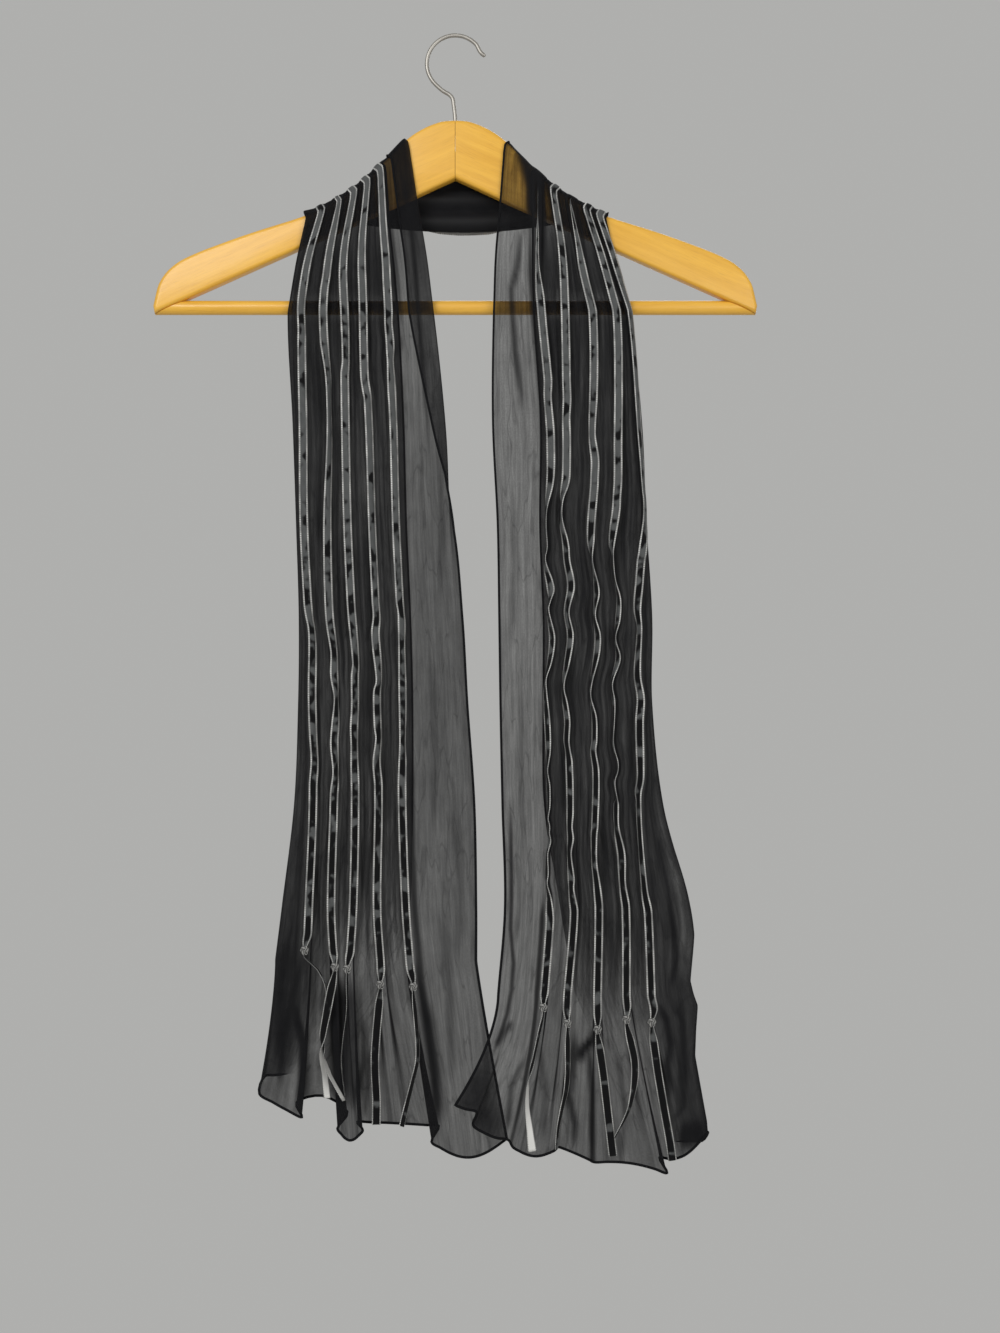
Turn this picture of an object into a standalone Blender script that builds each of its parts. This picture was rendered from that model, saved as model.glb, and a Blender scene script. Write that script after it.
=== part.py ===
"""A long chiffon scarf with velvet ribbons, hung round a wooden hanger.

Sizes are in millimetres, and MM turns them into Blender's metres when a mesh is made.
+Z is up, +X is to the viewer's right and -Y is towards the viewer. The origin is the
underside of the hook's crown, where the hanger hangs.

Places on the scarf are given as three numbers: outward, the distance from the hanger's middle
towards the panel's own side; forward, the distance in front of the hanger's face; and drop, the
distance below the origin.
"""

import math
from collections import namedtuple

import bmesh
import bpy
from mathutils import Vector

MM = 0.001
GAP = 0.3

# The scarf's cut and its ribbons
CLOTH = 1.0
RIBBON = 1.0
RIBBON_WIDTH = 6.3
RIBBON_LIFT = CLOTH / 2 + GAP
RIBBON_NAMES = ("a", "b", "c", "d", "e")

# The wooden hanger
WOOD_THICK = 12.0
WOOD_EDGE = 3.0
WOOD_FACE = WOOD_THICK / 2
BAR_TOP = 194.6
BAR_THICK = 10.4
BAR_SIDES = 16
SEAM = GAP

# The hook's wire, a crown of this radius over a straight shank
WIRE = 3.0
CROWN_RADIUS = 21.0
CROWN_FROM = 42
CROWN_TO = 222
CROWN_STEP = 12
HOOK_TIP = ((22.2, -14.1), (18.6, -10.9))
HOOK_BEND = ((-9.2, -39.4), (-4.4, -42.3), (-2.0, -45.2), (-1.2, -50.0), (-0.4, -56.5), (0.0, -62.0))
SHANK_DEPTH = 10.0
SHANK_HOLE = 1.8

# Knots tied in the ribbons, just above the gathered ends of the scarf
KNOT_WIDE = 6.6
KNOT_TALL = 7.4
KNOT_DEEP = 4.8
KNOT_REACH = 0.35

Outline = namedtuple("Outline", "outward drop")
ARM_TOP = (
    Outline(0.0, 62.4),
    Outline(11.0, 63.5),
    Outline(25.5, 69.5),
    Outline(37.5, 78.0),
    Outline(48.0, 88.5),
    Outline(60.0, 100.5),
    Outline(72.0, 111.0),
    Outline(84.0, 119.0),
    Outline(98.0, 126.5),
    Outline(112.0, 133.0),
    Outline(146.5, 144.0),
    Outline(169.5, 152.0),
    Outline(195.0, 162.0),
    Outline(209.0, 170.5),
    Outline(218.5, 183.0),
    Outline(222.5, 199.0),
)
SLOPE_REACH = 4.0
ARM_UNDERSIDE = (Outline(221.5, 204.6), Outline(32.0, 120.0), Outline(0.0, 105.1))

# Where the stations across the cloth lie, outward of the hanger's middle, at each drop.
# The side edge is folded over itself where edge is further outward than fold, and the tuck
# is the other side edge, which is folded behind the ribbons.
Across = namedtuple("Across", "drop edge fold band a b c d e outer tuck")
LEFT_TABLE = (
    Across(0.0, 49.0, 36.5, 50.5, 57.0, 66.5, 76.0, 86.5, 99.5, 110.5, 54.0),
    Across(164.0, 37.5, 22.5, 42.5, 50.5, 68.0, 81.5, 93.0, 109.0, 118.0, 46.0),
    Across(205.0, 33.5, 16.0, 38.0, 48.5, 66.5, 80.5, 96.0, 112.0, 122.5, 42.0),
    Across(285.5, 17.0, 7.5, 35.0, 44.5, 62.5, 79.0, 91.5, 110.5, 119.0, 38.0),
    Across(360.5, 0.5, 3.0, 33.5, 42.5, 60.0, 77.5, 93.0, 110.0, 116.5, 36.0),
    Across(429.5, -6.0, -1.5, 31.0, 39.5, 57.0, 75.0, 91.5, 107.0, 114.5, 33.0),
    Across(491.0, -9.5, -5.0, 29.5, 38.0, 56.5, 73.5, 86.5, 104.0, 115.0, 31.5),
    Across(565.5, -14.5, -9.5, 28.5, 38.0, 55.5, 72.5, 88.0, 103.5, 118.0, 31.5),
    Across(640.5, -16.0, -11.5, 26.5, 35.5, 56.5, 74.0, 90.0, 106.5, 127.0, 33.0),
    Across(680.0, -16.0, -11.5, 22.5, 32.5, 54.0, 76.5, 88.0, 108.0, 132.0, 42.0),
)
RIGHT_TABLE = (
    Across(0.0, 38.0, 41.5, 55.5, 63.0, 74.0, 86.0, 98.0, 107.5, 112.0, 58.5),
    Across(164.0, 30.0, 34.5, 53.0, 60.0, 79.0, 93.0, 110.0, 119.0, 120.0, 57.0),
    Across(205.0, 28.0, 32.5, 55.0, 63.0, 80.5, 100.5, 118.0, 127.5, 128.5, 58.0),
    Across(285.5, 27.5, 32.5, 61.0, 69.5, 81.5, 101.0, 119.0, 134.0, 137.0, 63.0),
    Across(360.5, 31.0, 36.0, 59.5, 67.0, 79.5, 99.5, 116.5, 136.0, 140.5, 62.5),
    Across(429.5, 32.0, 36.5, 61.0, 69.5, 83.5, 104.0, 119.5, 133.5, 144.5, 65.0),
    Across(491.0, 33.0, 38.0, 60.5, 68.0, 81.5, 101.0, 116.5, 135.5, 144.5, 65.0),
    Across(565.5, 34.5, 39.5, 61.0, 69.0, 85.0, 103.5, 119.0, 135.0, 152.5, 66.0),
    Across(640.5, 36.5, 42.0, 62.0, 69.5, 87.0, 105.0, 124.5, 141.0, 171.0, 77.0),
    Across(705.0, 31.5, 37.0, 58.0, 65.0, 82.0, 104.0, 125.0, 143.5, 172.5, 88.0),
)
# Behind the hanger's neck the same stations lie one under the other, so here they are drops.
NECK_STATIONS = Across(0.0, 84.5, 80.5, 93.5, 98.5, 109.0, 119.5, 130.0, 139.8, 145.5, 102.0)

# How far forward each layer of the cloth lies, and how far a pleat reaches under its ribbon.
Depth = namedtuple("Depth", "drop crest trough back margin tuck_under")
SEAM_DEPTH = Depth(0.0, 4.8, 3.9, 1.2, 1.2, -0.8)
QUARTER_DEPTH = Depth(0.0, 6.4, 4.2, 1.3, 1.8, -0.5)
DEPTH_TABLE = (
    Depth(205.0, 9.5, 4.6, 1.2, 2.4, 0.8),
    Depth(285.5, 10.5, 5.0, 0.6, 3.0, 1.4),
    Depth(429.5, 10.5, 4.5, 0.0, 3.0, 1.5),
    Depth(565.5, 11.0, 4.0, -1.0, 3.0, 1.5),
    Depth(705.0, 11.5, 3.6, -2.5, 3.0, 1.2),
)
NECK_DEPTH = Depth(0.0, 15.0, 8.0, 2.2, 9.0, 0.0)

# How far a ribbon turns away from the viewer, its outer edge going back, in degrees at a drop.
LEFT_TURNS = {"d": ((205.0, 0), (285.5, 28), (365.0, 0))}
RIGHT_TURNS = {
    "a": ((285.0, 0), (365.0, 22), (445.0, 0)),
    "b": ((285.0, 0), (365.0, 22), (445.0, 0)),
    "e": ((110.0, 0), (150.0, 20), (205.0, 50), (285.5, 55), (360.5, 35), (445.0, 0)),
}

# The folded margin lies this far in front of the rest, and the margin hangs in soft waves. A
# margin whose edge is further from its fold than FOLD_TURN is quite flat, or quite folded.
FOLD_LIFT = 3.6
FOLD_TURN = 9.0
FOLD_WIDTH = 3.0
FOLD_CORNER = 1.5
Wave = namedtuple("Wave", "share forward")
MARGIN_WAVES = (Wave(0.3, 1.0), Wave(0.55, -1.2), Wave(0.8, 1.0))
GAP_BULGE = 1.6
PLEAT_CLEAR = 2.2
SIDE_TURN = 2.7
SIDE_SHARE = 0.7
FREE_DEPTH = 5.0
BACK_POINTS = 7

# The runs of cloth that the loose ends fall into at the hem, from the side edge outward. Each
# run goes from one fold to the next, and first and last are its points across the cloth.
Run = namedtuple("Run", "first last outward forward bulge drop belly ease")
LEFT_HEM = (
    Run(0, 8, (-38.0, 17.0), (3.0, 8.0), 2.0, (811.0, 812.0), 12.0, 1.1),
    Run(9, 16, (12.0, 72.0), (0.0, -2.0), -1.5, (802.5, 800.0), 0.0, 1.2),
    Run(17, 23, (67.0, 85.5), (11.0, 11.0), 3.0, (803.0, 801.5), 7.0, 1.4),
    Run(24, 26, (79.5, 117.0), (-3.0, -3.0), -2.0, (793.0, 786.0), -8.0, 1.4),
    Run(27, 30, (111.5, 143.5), (10.0, 3.0), 3.0, (793.5, 778.0), 0.0, 1.6),
    Run(31, 37, (141.0, 100.0), (-9.0, -10.5), -1.0, (768.0, 765.0), 0.0, 1.6),
)
RIGHT_HEM = (
    Run(0, 2, (0.5, 16.0), (19.0, 20.0), 1.5, (782.5, 787.0), 0.0, 1.7),
    Run(3, 6, (13.5, 39.0), (12.0, 10.0), 1.5, (799.0, 810.0), 2.0, 1.5),
    Run(7, 13, (42.5, 73.0), (15.0, 12.0), 3.0, (814.0, 817.0), 4.5, 1.3),
    Run(14, 16, (75.0, 98.0), (5.0, 4.0), -2.0, (816.5, 826.0), 0.0, 1.3),
    Run(17, 23, (102.0, 154.5), (11.0, 14.0), 3.0, (826.0, 833.0), -4.0, 1.25),
    Run(24, 30, (150.0, 185.0), (2.0, 4.0), 2.0, (826.0, 803.0), 4.0, 1.0),
    Run(31, 37, (181.0, 136.0), (-6.0, -8.0), -1.0, (814.0, 816.0), 0.0, 1.0),
)

# A row across the cloth: its section, as points (outward, forward), and what turns the number
# and the place of a point in that section into (outward, forward, drop).
Row = namedtuple("Row", "section place")
MITRE_LIMIT = 0.5

Panel = namedtuple("Panel", "name side table turns hem")
LEFT = Panel("left", -1, LEFT_TABLE, LEFT_TURNS, LEFT_HEM)
RIGHT = Panel("right", 1, RIGHT_TABLE, RIGHT_TURNS, RIGHT_HEM)

# Rows of points down a panel: round the arm's top, down to the bar, then level rows, then
# shares of the way through the loose end.
ROUND_ROWS = 4
ROUND_STEP = 45
UPPER_FROM = 110.0
UPPER_SHARES = (0.0, 0.6, 1.0)
UPPER_ROWS = 4
LEVEL_STEP = 42.0
LOOSE_ROWS = 6
NECK_ROWS = 5
NECK_SHIFTS = (0.0, 0.0, 4.0, 10.0)

# Each ribbon's knot, and the tail that hangs from it. A tail is a row of places with the
# angle it has turned by there, in degrees.
Knot = namedtuple("Knot", "outward drop")
LEFT_KNOTS = (
    Knot(30.0, 697.5),
    Knot(54.0, 696.0),
    Knot(78.0, 684.5),
    Knot(87.0, 683.0),
    Knot(109.0, 671.0),
)
RIGHT_KNOTS = (
    Knot(64.5, 712.5),
    Knot(82.0, 724.0),
    Knot(104.0, 728.5),
    Knot(125.0, 721.0),
    Knot(143.5, 723.5),
)
Tail = namedtuple("Tail", "outward drop turn")
LEFT_TAILS = (
    (Tail(28.0, 725.0, 55), Tail(27.0, 750.0, 55), Tail(33.0, 775.5, 55), Tail(38.5, 799.0, 55)),
    (Tail(56.5, 725.0, 0), Tail(58.5, 753.5, 0), Tail(57.0, 798.0, 0)),
    (Tail(78.0, 712.0, 60), Tail(82.0, 750.0, 40), Tail(79.0, 780.0, 30)),
    (Tail(92.0, 712.0, 0), Tail(97.0, 745.0, 15), Tail(92.5, 778.0, 30)),
    (Tail(103.0, 690.0, 60), Tail(105.0, 712.0, 60), Tail(106.0, 738.0, 60)),
)
RIGHT_TAILS = (
    (Tail(56.5, 753.5, 40), Tail(52.5, 775.5, 40), Tail(56.5, 816.0, 10)),
    (Tail(81.5, 768.0, 40), Tail(75.5, 797.0, 50), Tail(74.0, 815.0, 50)),
    (Tail(108.0, 760.0, 0), Tail(111.5, 790.0, 0), Tail(115.0, 820.0, 0)),
    (Tail(131.0, 755.0, 20), Tail(127.0, 785.0, 45), Tail(119.5, 806.0, 60)),
    (Tail(148.0, 760.0, 0), Tail(154.0, 795.0, 0), Tail(158.5, 824.0, 0)),
)
TAIL_WIDTH = 6.0
TAIL_ROWS = 6
TAIL_CLEAR = 0.6
TAIL_EASE = 2.5
NEAR_SHARES = (-1.0, -0.5, 0.0, 0.5, 1.0)


def lerp(start, end, share):
    return start + (end - start) * share


def ease(value):
    """A smooth step from 0 to 1 as value goes from 0 to 1."""
    value = min(1.0, max(0.0, value))
    return value * value * (3 - 2 * value)


def smooth(keys, values, at):
    """The value at a place on the smooth curve through the keys' values, level past its ends."""
    if at <= keys[0]:
        return values[0]
    if at >= keys[-1]:
        return values[-1]
    last = len(keys) - 1
    here = max(i for i in range(last) if keys[i] <= at)
    span = keys[here + 1] - keys[here]
    slopes = []
    for i in (here, here + 1):
        before, after = max(0, i - 1), min(last, i + 1)
        slopes.append((values[after] - values[before]) / (keys[after] - keys[before]))
    share = (at - keys[here]) / span
    rise = values[here + 1] - values[here]
    bend = share * (1 - share)
    start_pull = (slopes[0] * span - rise) * (1 - share)
    end_pull = (rise - slopes[1] * span) * share
    return values[here] + rise * share + bend * (start_pull + end_pull)


def smooth_line(points, steps):
    """Points along the smooth curve through some points, with so many steps between each pair."""
    keys = list(range(len(points)))
    count = (len(points) - 1) * steps
    ways = [smooth_axis(points, keys, axis, steps, count) for axis in range(len(points[0]))]
    return list(zip(*ways))


def smooth_axis(points, keys, axis, steps, count):
    values = [point[axis] for point in points]
    return [smooth(keys, values, i / steps) for i in range(count + 1)]


def arm_top_drop(outward):
    """The drop of the arm's top at a distance outward."""
    return smooth([row.outward for row in ARM_TOP], [row.drop for row in ARM_TOP], outward)


def arm_top_at(outward):
    """The drop of the arm's top, and its outward and upward normal, at a distance outward."""
    fall = arm_top_drop(outward + SLOPE_REACH) - arm_top_drop(outward - SLOPE_REACH)
    length = math.hypot(2 * SLOPE_REACH, fall)
    return arm_top_drop(outward), fall / length, 2 * SLOPE_REACH / length


def turn_at(turns, name, drop):
    """The angle that a ribbon has turned by at a drop, in radians."""
    if name not in turns:
        return 0.0
    keys = [row[0] for row in turns[name]]
    values = [row[1] for row in turns[name]]
    return math.radians(smooth(keys, values, drop))


def across_points(at, depth, turns):
    """Points (outward, forward) across the cloth, from its side edge to its tucked edge."""
    folded = ease((at.edge - at.fold) / FOLD_TURN / 2 + 0.5)
    over = depth.margin + folded * FOLD_LIFT
    width = max(abs(at.edge - at.fold), FOLD_WIDTH)
    angle = math.pi * folded
    points = [(at.fold - width * math.cos(angle), over + width * math.sin(angle))]
    points.append((at.fold, over))
    points.append((at.fold + FOLD_CORNER * (1 - folded), depth.margin))
    for wave in MARGIN_WAVES:
        points.append((lerp(at.fold, at.band, wave.share), depth.margin + wave.forward * at_ease(depth)))
    points.append((at.band, depth.margin))
    edges = [ribbon_edges(getattr(at, name), depth, turns[name]) for name in RIBBON_NAMES]
    unders = [pleat_under(depth, turns[name]) for name in RIBBON_NAMES]
    for number, (inner, outer) in enumerate(edges):
        points += [inner, outer]
        if number + 1 < len(edges):
            reaches = unders[number], unders[number + 1]
            points += gap_points(outer, edges[number + 1][0], reaches, depth)
    points += side_points(edges[-1][1], at, depth)
    return points


def at_ease(depth):
    """How freely the margin waves: hardly at all where the cloth lies on the arm."""
    return ease((depth.crest - depth.trough) / FREE_DEPTH)


def ribbon_edges(centre, depth, turn):
    """The inner and outer edge of the flat crest that carries a ribbon."""
    reach = RIBBON_WIDTH / 2 * math.cos(turn)
    back = RIBBON_WIDTH * math.sin(turn)
    return (centre - reach, depth.crest), (centre + reach, depth.crest - back)


def pleat_under(depth, turn):
    """How far a pleat reaches under a ribbon: it keeps clear of one that is turned."""
    return depth.tuck_under * math.cos(turn) - PLEAT_CLEAR * math.sin(turn)


def gap_points(outer, inner, reaches, depth):
    """The pleat between two ribbons: in under the first, a low bulge, and out under the next."""
    first = (outer[0] - reaches[0], min(depth.trough, outer[1] - CLOTH))
    last = (inner[0] + reaches[1], depth.trough)
    bulge = GAP_BULGE * at_ease(depth)
    return [first, (lerp(first[0], last[0], 0.5), depth.trough + bulge), last]


def side_points(outer_edge, at, depth):
    """From the last ribbon round the outer fold and back behind the ribbons."""
    side = depth.back + SIDE_TURN
    points = [(lerp(outer_edge[0], at.outer, 0.5), lerp(outer_edge[1], side, SIDE_SHARE))]
    points.append((at.outer, side))
    for i in range(BACK_POINTS):
        share = i / (BACK_POINTS - 1)
        points.append((lerp(at.outer, at.tuck, share), depth.back))
    return points


def depth_at(drop):
    """The layers' depths at a drop below the trouser bar's top."""
    keys = [row.drop for row in DEPTH_TABLE]
    values = [smooth(keys, [row[i] for row in DEPTH_TABLE], drop) for i in range(1, len(Depth._fields))]
    return Depth(drop, *values)


def blend_depth(start, end, share):
    return Depth(0.0, *(lerp(a, b, share) for a, b in zip(start[1:], end[1:])))


def turns_at(panel, drop):
    return {name: turn_at(panel.turns, name, drop) for name in RIBBON_NAMES}


def level_section(panel, drop):
    keys = [row.drop for row in panel.table]
    places = [smooth(keys, [row[i] for row in panel.table], drop) for i in range(1, len(Across._fields))]
    return across_points(Across(drop, *places), depth_at(drop), turns_at(panel, drop))


def level_row(panel, drop):
    """A row that lies level."""
    return Row(level_section(panel, drop), lambda column, point: (*point, drop))


def round_row(panel, number, shift=0.0):
    """A row where the cloth lies round the arm's top edge: row 0 at its crest, row 3 at its face."""
    depth = SEAM_DEPTH if number < 2 else blend_depth(SEAM_DEPTH, QUARTER_DEPTH, (number - 1) / 2)
    section = across_points(panel.table[0], depth, turns_at(panel, 0.0))
    return Row(section, lambda column, point: round_place(point, number, shift))


def round_place(point, number, shift):
    """Where a point that rises above the arm's top edge lies in a row round that edge."""
    outward, rise = point[0] - shift, point[1]
    drop, lean, up = arm_top_at(outward)
    flat = WOOD_FACE - WOOD_EDGE
    corner = WOOD_EDGE + rise
    if number == 0:
        above, forward = rise, GAP / 2
    elif number == 1:
        above, forward = rise, flat
    else:
        angle = math.radians(ROUND_STEP * (number - 1))
        above = corner * math.cos(angle) - WOOD_EDGE
        forward = flat + corner * math.sin(angle)
    return outward + above * lean, forward - WOOD_FACE, drop - above * up


def upper_row(panel, share):
    """A row between the arm's face, at share 0, and the level row at the trouser bar."""
    top = round_row(panel, ROUND_ROWS - 1)
    starts = [top.place(i, point)[2] for i, point in enumerate(top.section)]
    first = panel.table[2].drop
    depth = blend_depth(QUARTER_DEPTH, DEPTH_TABLE[0], ease(share))
    turns = turns_at(panel, lerp(UPPER_FROM, first, share))
    section = across_points(upper_stations(panel, share), depth, turns)
    return Row(section, lambda column, point: (*point, lerp(starts[column], first, share)))


def upper_stations(panel, share):
    """The stations across the cloth, part of the way from the arm down to the bar."""
    top, middle, bottom = panel.table[0], panel.table[1], panel.table[2]
    places = []
    for i in range(1, len(Across._fields)):
        places.append(smooth(UPPER_SHARES, (top[i], middle[i], bottom[i]), share))
    return Across(0.0, *places)


def hem_points(panel):
    """(outward, forward, drop, ease) of each point across the cloth at the hem."""
    points = []
    for run in panel.hem:
        for i in range(run.first, run.last + 1):
            share = (i - run.first) / (run.last - run.first)
            arch = math.sin(math.pi * share)
            outward = lerp(*run.outward, share)
            forward = lerp(*run.forward, share) + run.bulge * arch
            drop = lerp(*run.drop, share) + run.belly * arch
            points.append((outward, forward, drop, run.ease))
    return points


def loose_row(panel, share):
    """A row of the loose end, from the last level row at share 0 to the hem at share 1."""
    start_drop = panel.table[-1].drop
    section, drops = [], []
    for (out, forward), hem in zip(level_section(panel, start_drop), hem_points(panel)):
        pull = share ** hem[3]
        section.append((lerp(out, hem[0], pull), lerp(forward, hem[1], pull)))
        drops.append(lerp(start_drop, hem[2], share))
    return Row(section, lambda column, point: (*point, drops[column]))


def level_drops(panel):
    first, last = panel.table[2].drop, panel.table[-1].drop
    count = math.ceil((last - first) / LEVEL_STEP)
    return [lerp(first, last, i / count) for i in range(1, count + 1)]


def panel_rows(panel):
    """All rows of a front panel, from the seam on the arm's crest to the hem."""
    rows = [round_row(panel, number) for number in range(ROUND_ROWS)]
    rows += [upper_row(panel, i / UPPER_ROWS) for i in range(1, UPPER_ROWS + 1)]
    rows += [level_row(panel, drop) for drop in level_drops(panel)]
    rows += [loose_row(panel, i / LOOSE_ROWS) for i in range(1, LOOSE_ROWS + 1)]
    return rows


def direction(start, end):
    run, rise = end[0] - start[0], end[1] - start[1]
    length = math.hypot(run, rise)
    return run / length, rise / length


def moved_out(section, distance):
    """The section's points moved forward of it, mitred where it turns."""
    last = len(section) - 1
    moved = []
    for i, (outward, forward) in enumerate(section):
        before = direction(section[max(0, i - 1)], section[max(1, i)])
        after = direction(section[min(last - 1, i)], section[min(last, i + 1)])
        across, ahead = -before[1] - after[1], before[0] + after[0]
        length = max(math.hypot(across, ahead), 2 * MITRE_LIMIT)
        reach = distance * 2 / length**2
        moved.append((outward + across * reach, forward + ahead * reach))
    return moved


def front_layer(panel, rows, distance, first=0, count=None):
    """A grid of places: some of the rows' columns moved forward of the cloth's middle."""
    last = len(rows[0].section) if count is None else first + count
    grid = []
    for row in rows:
        moved = moved_out(row.section[first:last], distance)
        places = [row.place(first + i, point) for i, point in enumerate(moved)]
        grid.append([Vector((panel.side * out, -WOOD_FACE - fore, -drop)) for out, fore, drop in places])
    return grid


def neck_layer(distance, first=0, count=None):
    """The same for the stretch behind the neck, from the left seam to the right one."""
    left = half_neck_layer(LEFT, distance, first, count)
    right = half_neck_layer(RIGHT, distance, first, count)
    no_turns = dict.fromkeys(RIBBON_NAMES, 0.0)
    section = across_points(NECK_STATIONS, NECK_DEPTH, no_turns)
    last = len(section) if count is None else first + count
    middle = [Vector((0.0, WOOD_FACE + back, -drop)) for drop, back in moved_out(section[first:last], distance)]
    grid = list(left)
    for i in range(1, NECK_ROWS + 1):
        share = i / (NECK_ROWS + 1)
        grid.append([arc_point(s, m, e, share) for s, m, e in zip(left[-1], middle, right[-1])])
    return grid + right[::-1]


def half_neck_layer(panel, distance, first, count):
    rows = [round_row(panel, number, NECK_SHIFTS[number]) for number in range(ROUND_ROWS)]
    grid = front_layer(panel, rows, distance, first, count)
    return [[Vector((place.x, -place.y, place.z)) for place in row] for row in grid]


def arc_point(start, middle, end, share):
    """A point on the parabola from start to end that passes through middle half way."""
    pull = middle * 2 - (start + end) / 2
    return start * (1 - share) ** 2 + pull * (2 * share * (1 - share)) + end * share**2


def remove_all():
    for thing in list(bpy.data.objects):
        bpy.data.objects.remove(thing)


def material(name, colour, roughness, metallic=0.0):
    made = bpy.data.materials.new(name)
    made.use_nodes = True
    shader = made.node_tree.nodes["Principled BSDF"]
    shader.inputs["Base Color"].default_value = (*colour, 1.0)
    shader.inputs["Roughness"].default_value = roughness
    shader.inputs["Metallic"].default_value = metallic
    return made


def add_object(name, mesh, collection, look):
    thing = bpy.data.objects.new(name, mesh)
    collection.objects.link(thing)
    mesh.materials.clear()
    mesh.materials.append(material(name, *look))
    return thing


def loft(name, front, back, collection, look, flip=False):
    """A closed cloth wall between two grids of places: faces over both, and round the rim."""
    down, across = len(front), len(front[0])
    count = down * across
    faces = []
    for r in range(down - 1):
        for c in range(across - 1):
            corner = r * across + c
            for face in ((corner, corner + 1, corner + across + 1), (corner, corner + across + 1, corner + across)):
                faces.append(face)
                faces.append(tuple(count + i for i in face[::-1]))
    rim = [c for c in range(across)]
    rim += [r * across + across - 1 for r in range(1, down)]
    rim += [(down - 1) * across + c for c in range(across - 2, -1, -1)]
    rim += [r * across for r in range(down - 2, 0, -1)]
    for start, end in zip(rim, rim[1:] + rim[:1]):
        faces.append((end, start, count + start, count + end))
    if not flip:
        faces = [face[::-1] for face in faces]
    mesh = bpy.data.meshes.new(name)
    mesh.from_pydata([place * MM for row in front + back for place in row], [], faces)
    mesh.shade_smooth()
    mesh.set_sharp_from_angle(angle=math.radians(60))
    return add_object(name, mesh, collection, look)


def ribbon_column(number):
    """The column of the panel's points where a ribbon's inner edge lies."""
    margin_points = 4 + len(MARGIN_WAVES)
    return margin_points + number * 5


def cut_rows(rows, drop):
    """The rows down to a drop, the last one made part of the way between two of them."""
    last = max(r for r, row in enumerate(rows) if -row[0].z < drop)
    start, end = rows[last], rows[last + 1]
    share = (drop + start[0].z) / (start[0].z - end[0].z)
    return rows[: last + 1] + [[lerp(a, b, share) for a, b in zip(start, end)]]


def front_ribbon(panel, rows, number, knot, collection, look):
    """A ribbon on two of the panel's points in each row, moved out from them."""
    column = ribbon_column(number)
    end = knot.drop - KNOT_TALL / 2 - GAP
    front = cut_rows(front_layer(panel, rows, RIBBON_LIFT + RIBBON, column, 2), end)
    back = cut_rows(front_layer(panel, rows, RIBBON_LIFT, column, 2), end)
    name = f"ribbon_{panel.name}_{number + 1}"
    return loft(name, front, back, collection, look, flip=panel.side < 0)


def section_at(grid, drop):
    """The cloth's section at a drop: where each column of places crosses it."""
    section = []
    for line in zip(*grid):
        for above, below in zip(line, line[1:]):
            if above.z >= -drop >= below.z:
                section.append(lerp(above, below, (above.z + drop) / (above.z - below.z)))
                break
    return section


def forward_at(grid, place, drops, reach):
    """How far forward the cloth comes within reach of a place, at any of some drops."""
    foremost = -math.inf
    for drop in drops:
        section = section_at(grid, drop)
        for a, b in zip(section, section[1:]):
            low, high = sorted((a, b), key=lambda point: point.x)
            if low.x > place + reach or high.x < place - reach:
                continue
            span = max(high.x - low.x, GAP)
            for x in (max(low.x, place - reach), min(high.x, place + reach)):
                foremost = max(foremost, -lerp(low.y, high.y, (x - low.x) / span))
    return foremost


def knot_place(panel, grid, knot):
    place = panel.side * knot.outward
    drops = [knot.drop + KNOT_TALL * share for share in (-KNOT_REACH, 0.0, KNOT_REACH)]
    forward = forward_at(grid, place, drops, KNOT_WIDE * KNOT_REACH)
    return Vector((place, -forward - GAP - KNOT_DEEP / 2, -knot.drop))


def add_knot(panel, grid, number, knot, collection, look):
    """A small round knot, squeezed from a sphere."""
    mesh = bpy.data.meshes.new("knot")
    shape = bmesh.new()
    bmesh.ops.create_uvsphere(shape, u_segments=10, v_segments=6, radius=0.5)
    half = Vector((KNOT_WIDE, KNOT_DEEP, KNOT_TALL)) * MM
    bmesh.ops.scale(shape, vec=half, verts=shape.verts)
    shape.to_mesh(mesh)
    shape.free()
    mesh.shade_smooth()
    thing = add_object(f"knot_{panel.name}_{number + 1}", mesh, collection, look)
    thing.location = knot_place(panel, grid, knot) * MM
    return thing


def tail_layers(panel, grid, knot, tail):
    """The front and back edges of a tail, from just under its knot and clear of the cloth."""
    start = Tail(knot.outward, knot.drop + KNOT_TALL / 2 + GAP, tail[0].turn)
    path = (start, *tail)
    drops = [step.drop for step in path]
    front, back = [], []
    step_down = (drops[-1] - drops[0]) / TAIL_ROWS
    forward = -math.inf
    for i in range(TAIL_ROWS + 1):
        drop = drops[0] + i * step_down
        place = panel.side * smooth(drops, [step.outward for step in path], drop)
        angle = math.radians(smooth(drops, [step.turn for step in path], drop))
        across = Vector((math.cos(angle), math.sin(angle), 0.0)) * (TAIL_WIDTH / 2)
        out = Vector((math.sin(angle), -math.cos(angle), 0.0)) * (RIBBON / 2)
        near = [drop + step_down * share for share in NEAR_SHARES]
        cloth = forward_at(grid, place, near, abs(across.x) + TAIL_CLEAR)
        clear = GAP + RIBBON / 2 + TAIL_CLEAR + abs(across.y)
        forward = max(forward - TAIL_EASE, cloth + clear)
        middle = Vector((place, -forward, -drop))
        front.append([middle - across + out, middle + across + out])
        back.append([middle - across - out, middle + across - out])
    return front, back


def add_tail(panel, grid, number, knot, tail, collection, look):
    front, back = tail_layers(panel, grid, knot, tail)
    return loft(f"tail_{panel.name}_{number + 1}", front, back, collection, look)


def wood_outline():
    """The whole hanger's outline, as points (across, up): along its top and back underneath."""
    keys = [row.outward for row in ARM_TOP]
    middles = [lerp(a, b, 0.5) for a, b in zip(keys, keys[1:])]
    half = [(outward, -arm_top_drop(outward)) for outward in sorted(keys + middles)]
    half += [(row.outward, -row.drop) for row in ARM_UNDERSIDE]
    return half + [(-across, up) for across, up in half[-2:0:-1]]


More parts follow.
